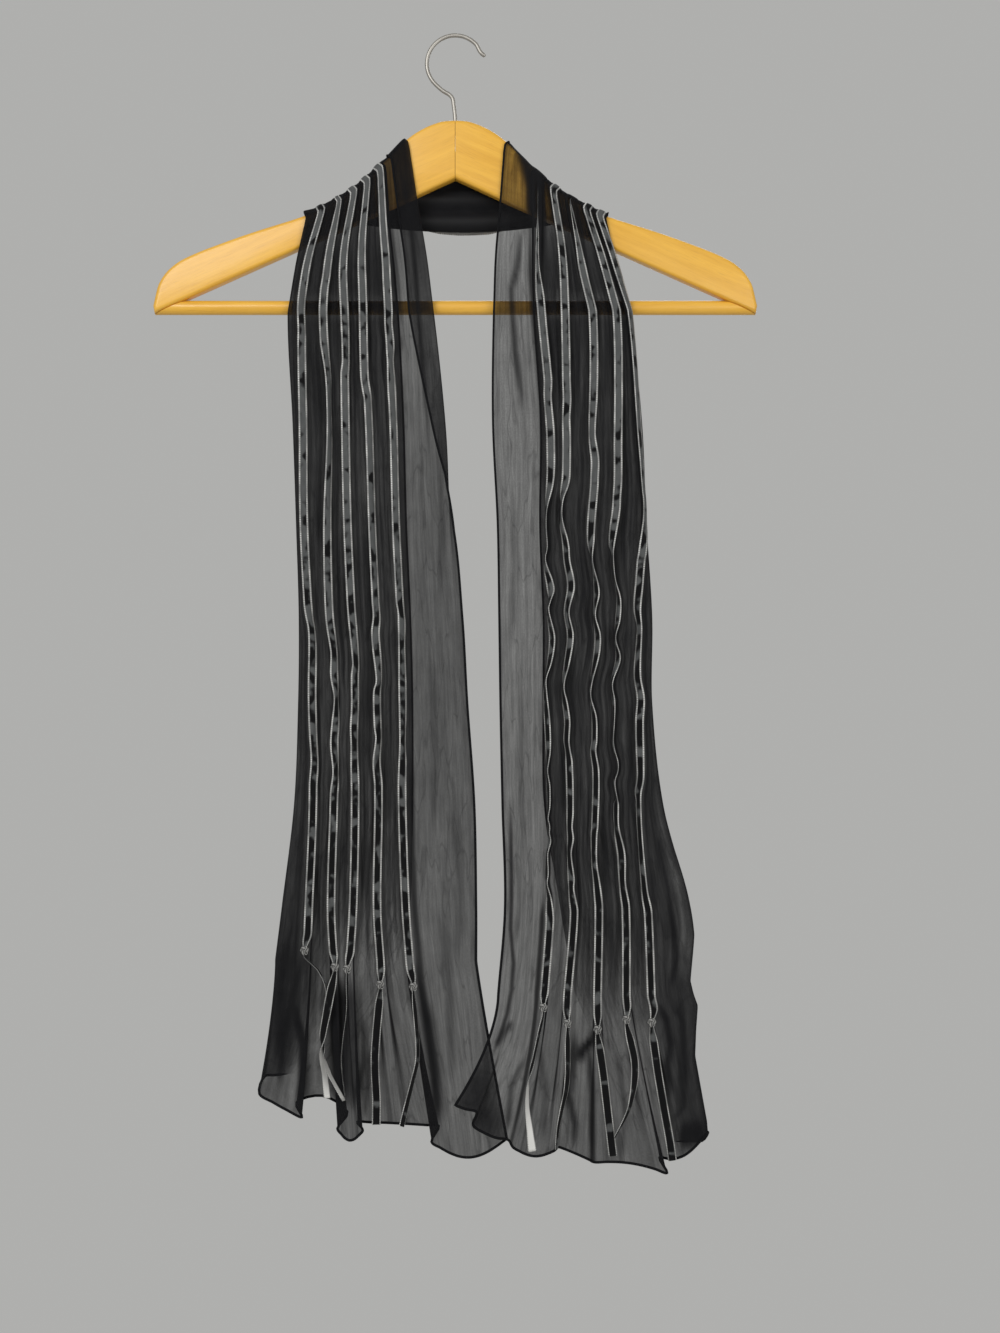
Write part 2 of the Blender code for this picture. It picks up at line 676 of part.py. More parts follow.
def wood_mesh():
    """The hanger's wood in one piece, flat in the XY plane, with rounded edges."""
    curve = bpy.data.curves.new("wood", "CURVE")
    curve.dimensions = "2D"
    curve.fill_mode = "BOTH"
    curve.extrude = (WOOD_FACE - WOOD_EDGE) * MM
    curve.bevel_depth = WOOD_EDGE * MM
    curve.bevel_resolution = 1
    curve.offset = -WOOD_EDGE * MM
    outline = wood_outline()
    spline = curve.splines.new("POLY")
    spline.points.add(len(outline) - 1)
    for point, (across, up) in zip(spline.points, outline):
        point.co = (across * MM, up * MM, 0.0, 1.0)
    spline.use_cyclic_u = True
    return curve_mesh("wood", curve)


def curve_mesh(name, curve):
    """A closed mesh from a curve, its caps welded on."""
    guide = bpy.data.objects.new(name, curve)
    bpy.context.scene.collection.objects.link(guide)
    evaluated = guide.evaluated_get(bpy.context.evaluated_depsgraph_get())
    mesh = bpy.data.meshes.new_from_object(evaluated)
    bpy.data.objects.remove(guide)
    shape = bmesh.new()
    shape.from_mesh(mesh)
    bmesh.ops.remove_doubles(shape, verts=shape.verts, dist=0.01 * MM)
    bmesh.ops.recalc_face_normals(shape, faces=shape.faces)
    shape.to_mesh(mesh)
    shape.free()
    return mesh


def add_arm(side, name, collection, look, half, hole):
    """One arm: the half of the wood on its side of the seam, with half of the hook's hole."""
    mesh = wood_mesh()
    mesh.shade_smooth()
    mesh.set_sharp_from_angle(angle=math.radians(40))
    thing = add_object(name, mesh, collection, look)
    thing.rotation_euler = (math.radians(90), 0.0, 0.0)
    for cutter, operation in ((half, "INTERSECT"), (hole, "DIFFERENCE")):
        cut = thing.modifiers.new(cutter.name, "BOOLEAN")
        cut.object = cutter
        cut.operation = operation
    return thing


def as_cutter(name, collection):
    """The primitive that was just made, put with the hidden cutters."""
    cutter = bpy.context.object
    cutter.name = name
    for owner in cutter.users_collection:
        owner.objects.unlink(cutter)
    collection.objects.link(cutter)
    cutter.hide_render = True
    cutter.display_type = "WIRE"
    return cutter


def add_half(side, name, collection):
    """A box round one half of the wood, from the seam outward."""
    size = 2 * ARM_TOP[-1].outward
    middle = side * (SEAM + size) / 2
    bpy.ops.mesh.primitive_cube_add(size=size * MM, location=(middle * MM, 0.0, -size / 2 * MM))
    return as_cutter(name, collection)


def add_hole(collection):
    """The hole for the hook's shank, drilled down where the two arms meet."""
    depth = 2 * SHANK_DEPTH
    place = (0.0, 0.0, -ARM_TOP[0].drop * MM)
    bpy.ops.mesh.primitive_cylinder_add(vertices=12, radius=SHANK_HOLE * MM, depth=depth * MM, location=place)
    return as_cutter("hook_hole", collection)


def underside_at(drop):
    """The distance outward of the arm's underside at a drop."""
    tip, neck = ARM_UNDERSIDE[0], ARM_UNDERSIDE[1]
    return lerp(neck.outward, tip.outward, (drop - neck.drop) / (tip.drop - neck.drop))


def add_bar(collection, look):
    """The round trouser bar, its ends cut on the slant where they meet the arms' undersides."""
    middle = BAR_TOP + BAR_THICK / 2
    bpy.ops.mesh.primitive_cylinder_add(vertices=BAR_SIDES, radius=BAR_THICK / 2 * MM, depth=1.0)
    thing = bpy.context.object
    for owner in thing.users_collection:
        owner.objects.unlink(thing)
    collection.objects.link(thing)
    thing.name = "trouser_bar"
    mesh = thing.data
    slant = math.hypot(1.0, 1.0 / arm_slope())
    for vertex in mesh.vertices:
        side = math.copysign(1.0, vertex.co.z)
        up = vertex.co.x / MM
        reach = underside_at(middle - up) - GAP * slant
        vertex.co = (side * reach * MM, vertex.co.y, (up - middle) * MM)
    mesh.flip_normals()
    mesh.shade_smooth()
    mesh.set_sharp_from_angle(angle=math.radians(50))
    mesh.materials.append(material("trouser_bar", *look))
    return thing


def arm_slope():
    tip, neck = ARM_UNDERSIDE[0], ARM_UNDERSIDE[1]
    return (tip.drop - neck.drop) / (tip.outward - neck.outward)


def hook_line():
    """The hook's centreline: the tip, round the crown, the bend, and down into the wood."""
    middle = WIRE / 2 - CROWN_RADIUS
    points = list(HOOK_TIP)
    for degrees in range(CROWN_FROM, CROWN_TO + 1, CROWN_STEP):
        angle = math.radians(degrees)
        points.append((CROWN_RADIUS * math.cos(angle), middle + CROWN_RADIUS * math.sin(angle)))
    points += HOOK_BEND
    points.append((0.0, GAP - ARM_TOP[0].drop - SHANK_DEPTH))
    return points


def add_hook(collection, look):
    curve = bpy.data.curves.new("hook", "CURVE")
    curve.dimensions = "3D"
    curve.bevel_depth = WIRE / 2 * MM
    curve.bevel_resolution = 2
    curve.use_fill_caps = True
    spline = curve.splines.new("POLY")
    line = smooth_line(hook_line(), 2)
    spline.points.add(len(line) - 1)
    for point, (across, up) in zip(spline.points, line):
        point.co = (across * MM, 0.0, up * MM, 1.0)
    mesh = curve_mesh("hook", curve)
    mesh.shade_smooth()
    return add_object("hook", mesh, collection, look)


CHIFFON = ((0.018, 0.018, 0.02), 0.8)
VELVET = ((0.03, 0.03, 0.034), 0.7)
SATIN = ((0.55, 0.55, 0.53), 0.4)
VARNISHED_WOOD = ((0.71, 0.37, 0.075), 0.35)
STEEL = ((0.62, 0.6, 0.57), 0.3, 1.0)


def add_hanger(parts, cutters):
    hole = add_hole(cutters)
    for side, name in ((-1, "left"), (1, "right")):
        half = add_half(side, f"{name}_half", cutters)
        add_arm(side, f"hanger_arm_{name}", parts, VARNISHED_WOOD, half, hole)
    add_bar(parts, VARNISHED_WOOD)
    add_hook(parts, STEEL)


def add_front(panel, knots, tails, parts):
    """A front panel with its ribbons, their knots and their tails."""
    rows = panel_rows(panel)
    front = front_layer(panel, rows, CLOTH / 2)
    back = front_layer(panel, rows, -CLOTH / 2)
    loft(f"scarf_front_{panel.name}", front, back, parts, CHIFFON, flip=panel.side < 0)
    for number, (knot, tail) in enumerate(zip(knots, tails)):
        front_ribbon(panel, rows, number, knot, parts, VELVET)
        add_knot(panel, front, number, knot, parts, SATIN)
        add_tail(panel, front, number, knot, tail, parts, VELVET)


def add_neck(parts):
    """The stretch behind the hanger's neck, with the ribbons' middle lengths on it."""
    front, back = neck_layer(CLOTH / 2), neck_layer(-CLOTH / 2)
    loft("scarf_neck", front, back, parts, CHIFFON)
    for number in range(len(RIBBON_NAMES)):
        column = ribbon_column(number)
        front = neck_layer(RIBBON_LIFT + RIBBON, column, 2)
        back = neck_layer(RIBBON_LIFT, column, 2)
        loft(f"ribbon_neck_{number + 1}", front, back, parts, VELVET)


def build():
    remove_all()
    parts = bpy.data.collections.new("chiffon_scarf_on_hanger")
    cutters = bpy.data.collections.new("cutters")
    bpy.context.scene.collection.children.link(parts)
    bpy.context.scene.collection.children.link(cutters)
    add_hanger(parts, cutters)
    add_front(LEFT, LEFT_KNOTS, LEFT_TAILS, parts)
    add_front(RIGHT, RIGHT_KNOTS, RIGHT_TAILS, parts)
    add_neck(parts)


build()
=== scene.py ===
"""The looks of a long chiffon scarf with velvet ribbons, hung round a wooden hanger.

Sizes are in millimetres, and MM turns them into metres when a mesh is made. Places on the scarf
are three numbers, as in the solids: outward from the hanger's middle, forward of its face, and
drop below the origin. The cloth is the solids' own folded surface, drawn more finely.
"""

import math
from collections import namedtuple

import bmesh
import bpy
import numpy as np
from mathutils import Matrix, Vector


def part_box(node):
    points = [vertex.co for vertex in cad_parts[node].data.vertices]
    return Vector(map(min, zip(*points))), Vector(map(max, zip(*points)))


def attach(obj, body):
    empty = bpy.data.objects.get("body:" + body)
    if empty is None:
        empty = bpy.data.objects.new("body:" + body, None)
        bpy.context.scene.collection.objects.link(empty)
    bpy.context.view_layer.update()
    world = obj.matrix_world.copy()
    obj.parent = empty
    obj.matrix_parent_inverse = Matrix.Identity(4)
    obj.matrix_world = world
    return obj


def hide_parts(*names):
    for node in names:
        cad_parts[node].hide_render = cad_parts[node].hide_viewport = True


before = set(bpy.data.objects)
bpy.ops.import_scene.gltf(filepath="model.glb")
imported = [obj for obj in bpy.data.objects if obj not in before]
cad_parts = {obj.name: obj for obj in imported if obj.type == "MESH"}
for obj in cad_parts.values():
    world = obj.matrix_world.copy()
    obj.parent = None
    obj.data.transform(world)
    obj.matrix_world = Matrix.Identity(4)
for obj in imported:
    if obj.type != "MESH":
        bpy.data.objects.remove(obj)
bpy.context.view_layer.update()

MM = 0.001
GAP = 0.3

# The scarf's cut and its ribbons
CLOTH = 1.0
RIBBON_WIDTH = 6.3
RIBBON_NAMES = ("a", "b", "c", "d", "e")

# The wooden hanger
WOOD_THICK = 12.0
WOOD_EDGE = 3.0
WOOD_FACE = WOOD_THICK / 2
BAR_TOP = 194.6
BAR_THICK = 10.4
BAR_SIDES = 48
SEAM = GAP

# The hook's wire, a crown of this radius over a straight shank
WIRE = 3.0
CROWN_RADIUS = 21.0
CROWN_FROM = 42
CROWN_TO = 222
CROWN_STEP = 12
SHANK_DEPTH = 10.0
SHANK_HOLE = 1.8

Outline = namedtuple("Outline", "outward drop")
ARM_TOP = tuple(
    Outline(*place)
    for place in (
        (0.0, 62.4), (11.0, 63.5), (25.5, 69.5), (37.5, 78.0), (48.0, 88.5), (60.0, 100.5), (72.0, 111.0),
        (84.0, 119.0), (98.0, 126.5), (112.0, 133.0), (146.5, 144.0), (169.5, 152.0), (195.0, 162.0),
        (209.0, 170.5), (218.5, 183.0), (222.5, 199.0),
    )
)
ARM_UNDERSIDE = (Outline(221.5, 204.6), Outline(32.0, 120.0), Outline(0.0, 105.1))

# Where the stations across the cloth lie, outward of the hanger's middle, at each drop.
Across = namedtuple("Across", "drop edge fold band a b c d e outer tuck")
LEFT_TABLE = (
    Across(0.0, 49.0, 36.5, 50.5, 57.0, 66.5, 76.0, 86.5, 99.5, 110.5, 54.0),
    Across(164.0, 37.5, 22.5, 42.5, 50.5, 68.0, 81.5, 93.0, 109.0, 118.0, 46.0),
    Across(205.0, 33.5, 16.0, 38.0, 48.5, 66.5, 80.5, 96.0, 112.0, 122.5, 42.0),
    Across(285.5, 17.0, 7.5, 35.0, 44.5, 62.5, 79.0, 91.5, 110.5, 119.0, 38.0),
    Across(360.5, 0.5, 3.0, 33.5, 42.5, 60.0, 77.5, 93.0, 110.0, 116.5, 36.0),
    Across(429.5, -6.0, -1.5, 31.0, 39.5, 57.0, 75.0, 91.5, 107.0, 114.5, 33.0),
    Across(491.0, -9.5, -5.0, 29.5, 38.0, 56.5, 73.5, 86.5, 104.0, 115.0, 31.5),
    Across(565.5, -14.5, -9.5, 28.5, 38.0, 55.5, 72.5, 88.0, 103.5, 118.0, 31.5),
    Across(640.5, -16.0, -11.5, 26.5, 35.5, 56.5, 74.0, 90.0, 106.5, 127.0, 33.0),
    Across(680.0, -16.0, -11.5, 22.5, 32.5, 54.0, 76.5, 88.0, 108.0, 132.0, 42.0),
)
RIGHT_TABLE = (
    Across(0.0, 38.0, 41.5, 55.5, 63.0, 74.0, 86.0, 98.0, 107.5, 112.0, 58.5),
    Across(164.0, 30.0, 34.5, 53.0, 60.0, 79.0, 93.0, 110.0, 119.0, 120.0, 57.0),
    Across(205.0, 28.0, 32.5, 55.0, 63.0, 80.5, 100.5, 118.0, 127.5, 128.5, 58.0),
    Across(285.5, 27.5, 32.5, 61.0, 69.5, 81.5, 101.0, 119.0, 134.0, 137.0, 63.0),
    Across(360.5, 31.0, 36.0, 59.5, 67.0, 79.5, 99.5, 116.5, 136.0, 140.5, 62.5),
    Across(429.5, 32.0, 36.5, 61.0, 69.5, 83.5, 104.0, 119.5, 133.5, 144.5, 65.0),
    Across(491.0, 33.0, 38.0, 60.5, 68.0, 81.5, 101.0, 116.5, 135.5, 144.5, 65.0),
    Across(565.5, 34.5, 39.5, 61.0, 69.0, 85.0, 103.5, 119.0, 135.0, 152.5, 66.0),
    Across(640.5, 36.5, 42.0, 62.0, 69.5, 87.0, 105.0, 124.5, 141.0, 171.0, 77.0),
    Across(705.0, 31.5, 37.0, 58.0, 65.0, 82.0, 104.0, 125.0, 143.5, 172.5, 88.0),
)
NECK_STATIONS = Across(0.0, 83.5, 79.5, 92.0, 97.0, 106.5, 116.0, 125.8, 135.2, 140.8, 100.0)

# How far forward each layer of the cloth lies, and how far a pleat reaches under its ribbon.
Depth = namedtuple("Depth", "drop crest trough back margin tuck_under")
SEAM_DEPTH = Depth(0.0, 1.6, 1.5, 0.5, 1.0, -0.8)
QUARTER_DEPTH = Depth(0.0, 3.4, 2.4, 0.8, 1.4, -0.5)
DEPTH_TABLE = (
    Depth(205.0, 9.5, 4.6, 1.2, 2.4, 0.8),
    Depth(285.5, 10.5, 5.0, 0.6, 3.0, 1.4),
    Depth(429.5, 10.5, 4.5, 0.0, 3.0, 1.5),
    Depth(565.5, 11.0, 4.0, -1.0, 3.0, 1.5),
    Depth(705.0, 11.5, 3.6, -2.5, 3.0, 1.2),
)
NECK_DEPTH = Depth(0.0, 15.0, 8.0, 2.2, 9.0, 0.0)

# How far a ribbon strays outward from its station at a drop, in millimetres, and the angle it turns
# by, in degrees: above 0 its outer edge goes back, below 0 its inner edge.
LEFT_SWAY = {
    "a": (
        (189, 0.0, 0), (203, -0.4, 0), (215, 0.3, -18), (228, -0.4, 0), (241, 0.6, -41), (262, 0.3, -12),
        (274, 0.4, -25), (416, 0.2, -25), (425, -0.3, -39), (433, -0.6, -30), (450, 0.0, -41),
        (483, 0.0, -25), (521, 0.3, -45), (534, 0.0, -25), (550, 0.0, 0),
    ),
    "b": (
        (189, 0.0, 0), (203, 0.3, 0), (253, 1.7, 0), (262, 1.0, 0), (270, 0.5, -25), (416, 0.7, -30),
        (429, 0.3, -30), (441, 1.0, 0), (475, -0.8, -50), (483, 0.4, -28), (509, 0.2, -30),
        (517, -0.1, -45), (534, 1.4, -25), (550, 0.0, 0),
    ),
    "c": (
        (184, 0.0, 0), (198, 0.0, 0), (241, 0.1, -33), (253, 0.8, -12), (416, 0.2, 0), (462, -1.5, -39),
        (471, -0.9, -25), (496, -0.4, -25), (509, 0.4, -18), (521, 0.7, -33), (534, 0.7, -25),
        (550, 0.0, 0),
    ),
    "d": (
        (176, 0.0, 0), (190, 0.6, 0), (203, 0.1, 0), (228, 0.2, -8), (236, 0.2, -33), (253, -0.4, -50),
        (278, 0.5, -62), (425, -0.3, 0), (454, -0.9, -39), (471, 0.4, -25), (488, 0.5, -64),
        (509, 1.0, -21), (521, 1.3, -12), (542, 0.1, -48), (558, 0.0, 0),
    ),
    "e": (
        (180, 0.0, 0), (194, 1.0, -25), (220, 0.1, -25), (232, -0.1, 0), (274, 0.4, -12), (416, -0.3, 0),
        (429, -0.6, -33), (437, -1.6, -39), (450, -1.8, -25), (483, -0.2, 0), (513, 0.2, -25),
        (534, -0.6, -30), (550, 0.0, 0),
    ),
}
RIGHT_SWAY = {
    "a": (
        (256, 0.0, 0), (270, -0.9, -23), (299, 0.2, -7), (329, 1.5, -28), (352, -0.1, -84),
        (378, 0.2, -85), (387, -1.7, -81), (407, 1.1, -26), (416, 0.8, -78), (423, -1.1, -78),
        (442, 1.7, -48), (451, 1.7, -48), (463, 0.4, -60), (474, -1.7, -81), (484, -1.7, -66),
        (505, -0.4, -46), (526, 0.1, -56), (541, -0.8, -84), (551, -0.2, -68), (567, -0.2, -72),
        (576, -0.9, -86), (581, -0.2, -75), (586, -0.7, -75), (592, 0.0, -69), (601, -1.7, -82),
        (616, -2.2, -68), (623, -2.3, -83), (633, -0.8, -56), (649, 0.0, 0),
    ),
    "b": (
        (256, 0.0, 0), (270, 0.3, 0), (284, 0.0, -21), (299, 0.3, 0), (326, 1.1, -7), (333, 0.5, -25),
        (341, -0.8, -64), (348, -1.4, -77), (356, -1.1, -82), (363, -0.8, -60), (370, 0.6, -48),
        (378, 1.3, -38), (387, 1.3, -40), (406, 2.7, -26), (425, -1.3, -51), (442, 1.3, -40),
        (463, -0.3, -51), (479, -2.2, -76), (492, -0.6, -51), (505, 0.6, -47), (519, -0.6, -48),
        (526, 0.0, -52), (534, 0.3, -34), (571, -0.8, -34), (582, -1.5, -48), (590, -1.3, -38),
        (601, -2.5, -60), (620, -1.7, -38), (627, -1.7, -50), (643, 0.0, 0),
    ),
    "c": (
        (256, 0.0, 0), (270, 0.0, -14), (296, -0.2, -38), (314, 1.9, 0), (326, 2.2, -11), (337, 1.8, 0),
        (370, -0.4, -25), (387, -0.4, -86), (410, 0.9, -50), (427, -1.6, -76), (442, 0.9, -46),
        (456, 0.9, -46), (484, -1.8, -85), (502, 1.0, -54), (519, 0.7, -52), (526, -0.5, -48),
        (541, 0.7, -38), (582, -1.5, -38), (588, -2.2, -43), (608, -2.4, -50), (623, -1.0, -34),
        (639, 0.0, 0),
    ),
    "d": (
        (256, 0.0, 0), (270, 0.2, 0), (299, 0.3, 0), (329, 1.7, -7), (341, 1.5, -14), (352, 0.9, 0),
        (376, -1.9, -52), (382, -1.5, -82), (401, -1.1, -84), (415, 0.9, -63), (431, -0.1, -58),
        (444, -1.5, -85), (459, 1.5, -56), (477, -1.9, -79), (490, -0.2, -71), (505, -0.1, -81),
        (519, -1.0, -85), (526, -0.3, -82), (534, 1.5, -79), (541, 1.5, -85), (549, -1.4, -80),
        (561, -0.1, -84), (565, -0.8, -56), (582, -1.6, -55), (601, -0.3, -14), (623, -0.8, -38),
        (639, 0.0, 0),
    ),
    "e": (
        (110, 0.0, 0), (150, 0.0, 20), (205, 0.0, 50), (286, 0.0, 55), (320, 1.0, 62), (337, 1.8, 64),
        (344, 2.4, 66), (359, 2.4, 56), (382, 1.5, 0), (387, 0.8, 0), (403, 0.4, 0), (423, 0.1, -34),
        (437, 1.8, -56), (471, -1.2, -34), (488, 0.6, -26), (505, -0.7, 0), (541, 1.2, -32),
        (549, 0.9, -32), (556, -0.4, -40), (561, -0.2, -56), (627, -1.1, -43), (643, 0.0, 0),
    ),
}

# How far the right panel's outer fold swings outward at a drop, and over how many columns of the
# back layer the swing fades
OUTER_SWING = (
    (600, 0.0), (640, 1.5), (662, 3.0), (680, 1.6), (696, 0.4), (714, 4.6), (732, 1.0), (750, -2.0),
    (775, -0.6), (798, 0.8), (815, 0.0),
)
SWING_BACK = 24

# Creases, given as lines of (outward, drop): how wide each is, how far forward it stands and how
# many more layers of cloth gather in it. Towards its ends, over a share of its length, a crease
# fades down to the share of it that is left there.
Crease = namedtuple("Crease", "width forward layers line")
CREASE_FADE = 0.25
CREASE_END = 0.15
# A crease's layers darken the cloth's cover: partly real extra cloth in the fold, partly painted shade.
# Negative layers paint it lighter.
LEFT_CREASES = (
    Crease(2.4, -1.2, 1.0, ((110.7, 675), (118.3, 704), (126, 734), (128.3, 773))),
    Crease(2.6, -1.6, 2.4, ((117, 709), (115.8, 720), (111, 738), (110.5, 761), (112.5, 791))),
    Crease(5.5, -1.5, 2.6, ((87.5, 690), (88, 715), (87, 745), (85, 786))),
    Crease(1.8, 1.2, 0.9, ((81, 700), (81, 745), (80, 790))),
    Crease(2.2, -1.0, 0.8, ((67, 721), (66, 754), (74, 786))),
    Crease(1.8, 1.0, 0.7, ((60.8, 741), (64, 770), (67, 800))),
    Crease(2.6, -1.5, 1.3, ((27, 676), (25.3, 695), (19.4, 728), (14.8, 760), (12.9, 786), (14.2, 808))),
    Crease(4.6, 0.0, 0.8, ((22, 706), (18.5, 734), (14.2, 764), (13, 800))),
    Crease(8.5, 0.0, 0.8, ((124, 664), (126, 705), (126, 750))),
    Crease(6.5, 0.0, 1.0, ((77, 690), (76, 740), (72, 790))),
    Crease(3.0, -0.8, 0.35, ((13, 300), (9, 352), (11, 418))),
    Crease(2.4, 0.8, 0.3, ((18, 455), (14, 520), (17, 590))),
    Crease(3.2, -0.9, 0.35, ((2, 560), (-4, 622), (-1, 690))),
    Crease(2.2, 0.8, 0.4, ((-14, 655), (-22, 720), (-24, 790))),
    Crease(2.6, -0.8, 0.4, ((10, 640), (4, 705), (2, 770))),
    Crease(1.6, 0.9, 0.7, ((39, 96), (31, 150), (26, 215), (19, 300))),
)
RIGHT_CREASES = (
    Crease(
        1.3, 0.8, 1.6,
        (
            (40.8, 560), (41.2, 636), (40.6, 657), (43, 682), (41.6, 702), (38.1, 720), (29.7, 743),
            (24, 757),
        ),
    ),
    Crease(2.4, -1.2, 1.2, ((29.7, 743), (36, 733), (43, 724))),
    Crease(8.5, -0.8, 2.6, ((164, 808), (172, 808), (183, 806))),
    Crease(11.0, 0.0, 0.9, ((12, 754), (15, 785), (27, 808))),
    Crease(9.0, 0.0, -0.35, ((158, 600), (166, 660), (167, 705))),
    Crease(3.0, -1.0, 1.6, ((90, 756), (94, 745), (101, 738), (106, 726))),
    Crease(2.0, -1.0, 0.9, ((51.8, 750), (41.3, 771), (38.3, 805))),
    Crease(2.4, 1.2, 1.4, ((100.4, 738), (90.7, 750))),
    Crease(2.4, -1.4, 1.5, ((87.8, 731), (86.3, 756), (83.3, 779), (87.8, 801), (86.3, 819))),
    Crease(1.8, 1.0, 1.1, ((98.2, 741), (100.4, 779), (99.7, 820))),
    Crease(2.4, -1.4, 1.5, ((147.4, 709), (155, 723), (158, 741), (155, 756), (158, 779))),
    Crease(2.0, 1.1, 1.0, ((158, 707), (167, 726), (168.6, 756), (167, 786), (158, 800))),
    Crease(1.8, -1.0, 1.0, ((155, 629), (161, 659), (163.3, 677), (158, 702))),
    Crease(
        2.0, -1.0, 1.4,
        (
            (55.6, 137), (47.6, 150), (46, 169), (41.3, 189), (42.8, 209), (44.4, 233), (48.4, 265),
            (47.6, 281),
        ),
    ),
    Crease(3.6, 0.8, 2.6, ((47, 84), (52.5, 98), (56, 112), (57, 140))),
    Crease(2.2, 0.6, 2.0, ((56, 92), (62, 108), (64, 134), (63, 168))),
    Crease(2.2, 0.6, 1.2, ((62, 95), (63.5, 137))),
    Crease(2.3, 0.0, -1.4, ((58.5, 106), (59.5, 120), (60, 136))),
    Crease(2.0, 0.0, -1.3, ((67, 114), (68, 124), (68.5, 139))),
    Crease(2.6, -0.8, 0.35, ((41, 330), (44, 392), (40, 452))),
    Crease(3.0, 0.8, 0.3, ((50, 470), (47, 535), (52, 604))),
    Crease(2.2, -0.8, 0.4, ((45, 600), (48, 640), (44, 668))),
    Crease(2.4, 0.9, 0.5, ((60, 735), (66, 770), (64, 812))),
    Crease(2.0, -0.9, 0.6, ((118, 742), (124, 785), (121, 826))),
)
LEFT_BACK_CREASES = (
    Crease(3.0, -1.4, 0.5, ((104, 215), (99, 300), (103, 395))),
    Crease(2.4, 1.2, 0.4, ((84, 260), (88, 350), (82, 470))),
    Crease(3.4, -1.5, 0.5, ((66, 330), (62, 450), (68, 560))),
    Crease(2.2, -1.2, 0.6, ((100, 470), (106, 560), (103, 655))),
    Crease(2.8, 1.3, 0.4, ((52, 520), (56, 610), (50, 700))),
    Crease(2.2, -1.4, 0.6, ((118, 640), (128, 700), (131, 762))),
)
RIGHT_BACK_CREASES = (
    Crease(3.0, -1.4, 0.5, ((118, 225), (124, 310), (119, 420))),
    Crease(2.4, 1.2, 0.4, ((96, 250), (92, 360), (98, 450))),
    Crease(3.2, -1.5, 0.5, ((80, 380), (85, 480), (79, 590))),
    Crease(2.2, -1.2, 0.6, ((126, 470), (132, 575), (146, 680))),
    Crease(2.6, 1.3, 0.4, ((108, 560), (112, 650), (120, 740))),
    Crease(2.2, -1.4, 0.6, ((158, 640), (168, 720), (166, 800))),
)

# The folded margin and the soft waves that the margin hangs in
FOLD_LIFT = 3.6
FOLD_REST = 0.7
FOLD_TURN = 9.0
FOLD_WIDTH = 3.0
FOLD_CORNER = 1.5
Wave = namedtuple("Wave", "share forward")
MARGIN_WAVES = (Wave(0.3, 1.0), Wave(0.55, -1.2), Wave(0.8, 1.0))
FREE_DEPTH = 5.0
GAP_BULGE = 1.6
PLEAT_CLEAR = 2.2
LEAST_STEP = 0.15
SIDE_TURN = 2.7
SIDE_SHARE = 0.7
BACK_POINTS = 7

# The runs of cloth that the loose ends fall into at the hem, from the side edge outward
Run = namedtuple("Run", "first last outward forward bulge drop belly ease")
LEFT_HEM = (
    Run(0, 8, (-38.0, 17.0), (3.0, 8.0), 2.0, (811.0, 812.0), 12.0, 1.1),
    Run(9, 16, (12.0, 72.0), (0.0, -2.0), -1.5, (802.5, 800.0), 0.0, 1.2),
    Run(17, 23, (67.0, 85.5), (11.0, 11.0), 3.0, (803.0, 801.5), 7.0, 1.4),
    Run(24, 26, (79.5, 117.0), (-3.0, -3.0), -2.0, (793.0, 786.0), -8.0, 1.4),
    Run(27, 30, (111.5, 143.5), (10.0, 3.0), 3.0, (793.5, 778.0), 0.0, 1.6),
    Run(31, 37, (141.0, 100.0), (-9.0, -10.5), -1.0, (768.0, 765.0), 0.0, 1.6),
)
RIGHT_HEM = (
    Run(0, 2, (0.5, 16.0), (19.0, 20.0), 1.5, (782.5, 787.0), 0.0, 1.7),
    Run(3, 6, (13.5, 39.0), (12.0, 10.0), 1.5, (799.0, 810.0), 2.0, 1.5),
    Run(7, 13, (42.5, 73.0), (15.0, 12.0), 3.0, (814.0, 817.0), 4.5, 1.3),
    Run(14, 16, (75.0, 98.0), (5.0, 4.0), -2.0, (816.5, 826.0), 0.0, 1.3),
    Run(17, 23, (102.0, 154.5), (11.0, 14.0), 3.0, (826.0, 833.0), -4.0, 1.25),
    Run(24, 30, (150.0, 185.0), (2.0, 4.0), 2.0, (825.0, 806.0), 7.5, 1.0),
    Run(31, 37, (182.0, 136.0), (-6.0, -8.0), -1.0, (815.0, 818.0), 0.0, 1.0),
)

Panel = namedtuple("Panel", "name side table sway hem creases back_creases")
LEFT = Panel("left", -1, LEFT_TABLE, LEFT_SWAY, LEFT_HEM, LEFT_CREASES, LEFT_BACK_CREASES)
RIGHT = Panel("right", 1, RIGHT_TABLE, RIGHT_SWAY, RIGHT_HEM, RIGHT_CREASES, RIGHT_BACK_CREASES)

# Rows of points down a panel, before they are drawn more finely
ROUND_ROWS = 7
ROUND_ANGLE = 45
UPPER_FROM = 110.0
UPPER_MIDDLE = 0.6
UPPER_ROWS = 10
LEVEL_STEP = 3.5
LOOSE_ROWS = 24
NECK_ROWS = 22
NECK_SHIFTS = (0.0, 0.0, 4.0, 10.0)

# Folds across the neck: each one's drop at the sides, how much lower its middle hangs, its width,
# how far back it stands, and where along the neck it lies and how far it reaches. They fade towards
# the arms, past the neck's free part.
NeckFold = namedtuple("NeckFold", "line dip width back middle reach")
NECK_PART = 0.45
NECK_FADE = 0.15
NECK_FOLDS = (
    NeckFold(84.0, 6.0, 2.6, 1.8, -0.25, 0.5),
    NeckFold(91.0, 9.0, 3.2, -1.8, 0.2, 0.6),
    NeckFold(99.0, 10.0, 2.4, 1.9, 0.1, 0.4),
    NeckFold(106.0, 12.0, 3.0, -1.9, -0.3, 0.5),
    NeckFold(114.0, 12.0, 2.6, 2.0, 0.25, 0.55),
    NeckFold(122.0, 12.0, 3.2, -1.8, 0.0, 0.7),
    NeckFold(129.0, 12.0, 2.2, 1.6, -0.1, 0.5),
)
ROW_STEPS = 2
NECK_ROW_STEPS = 3

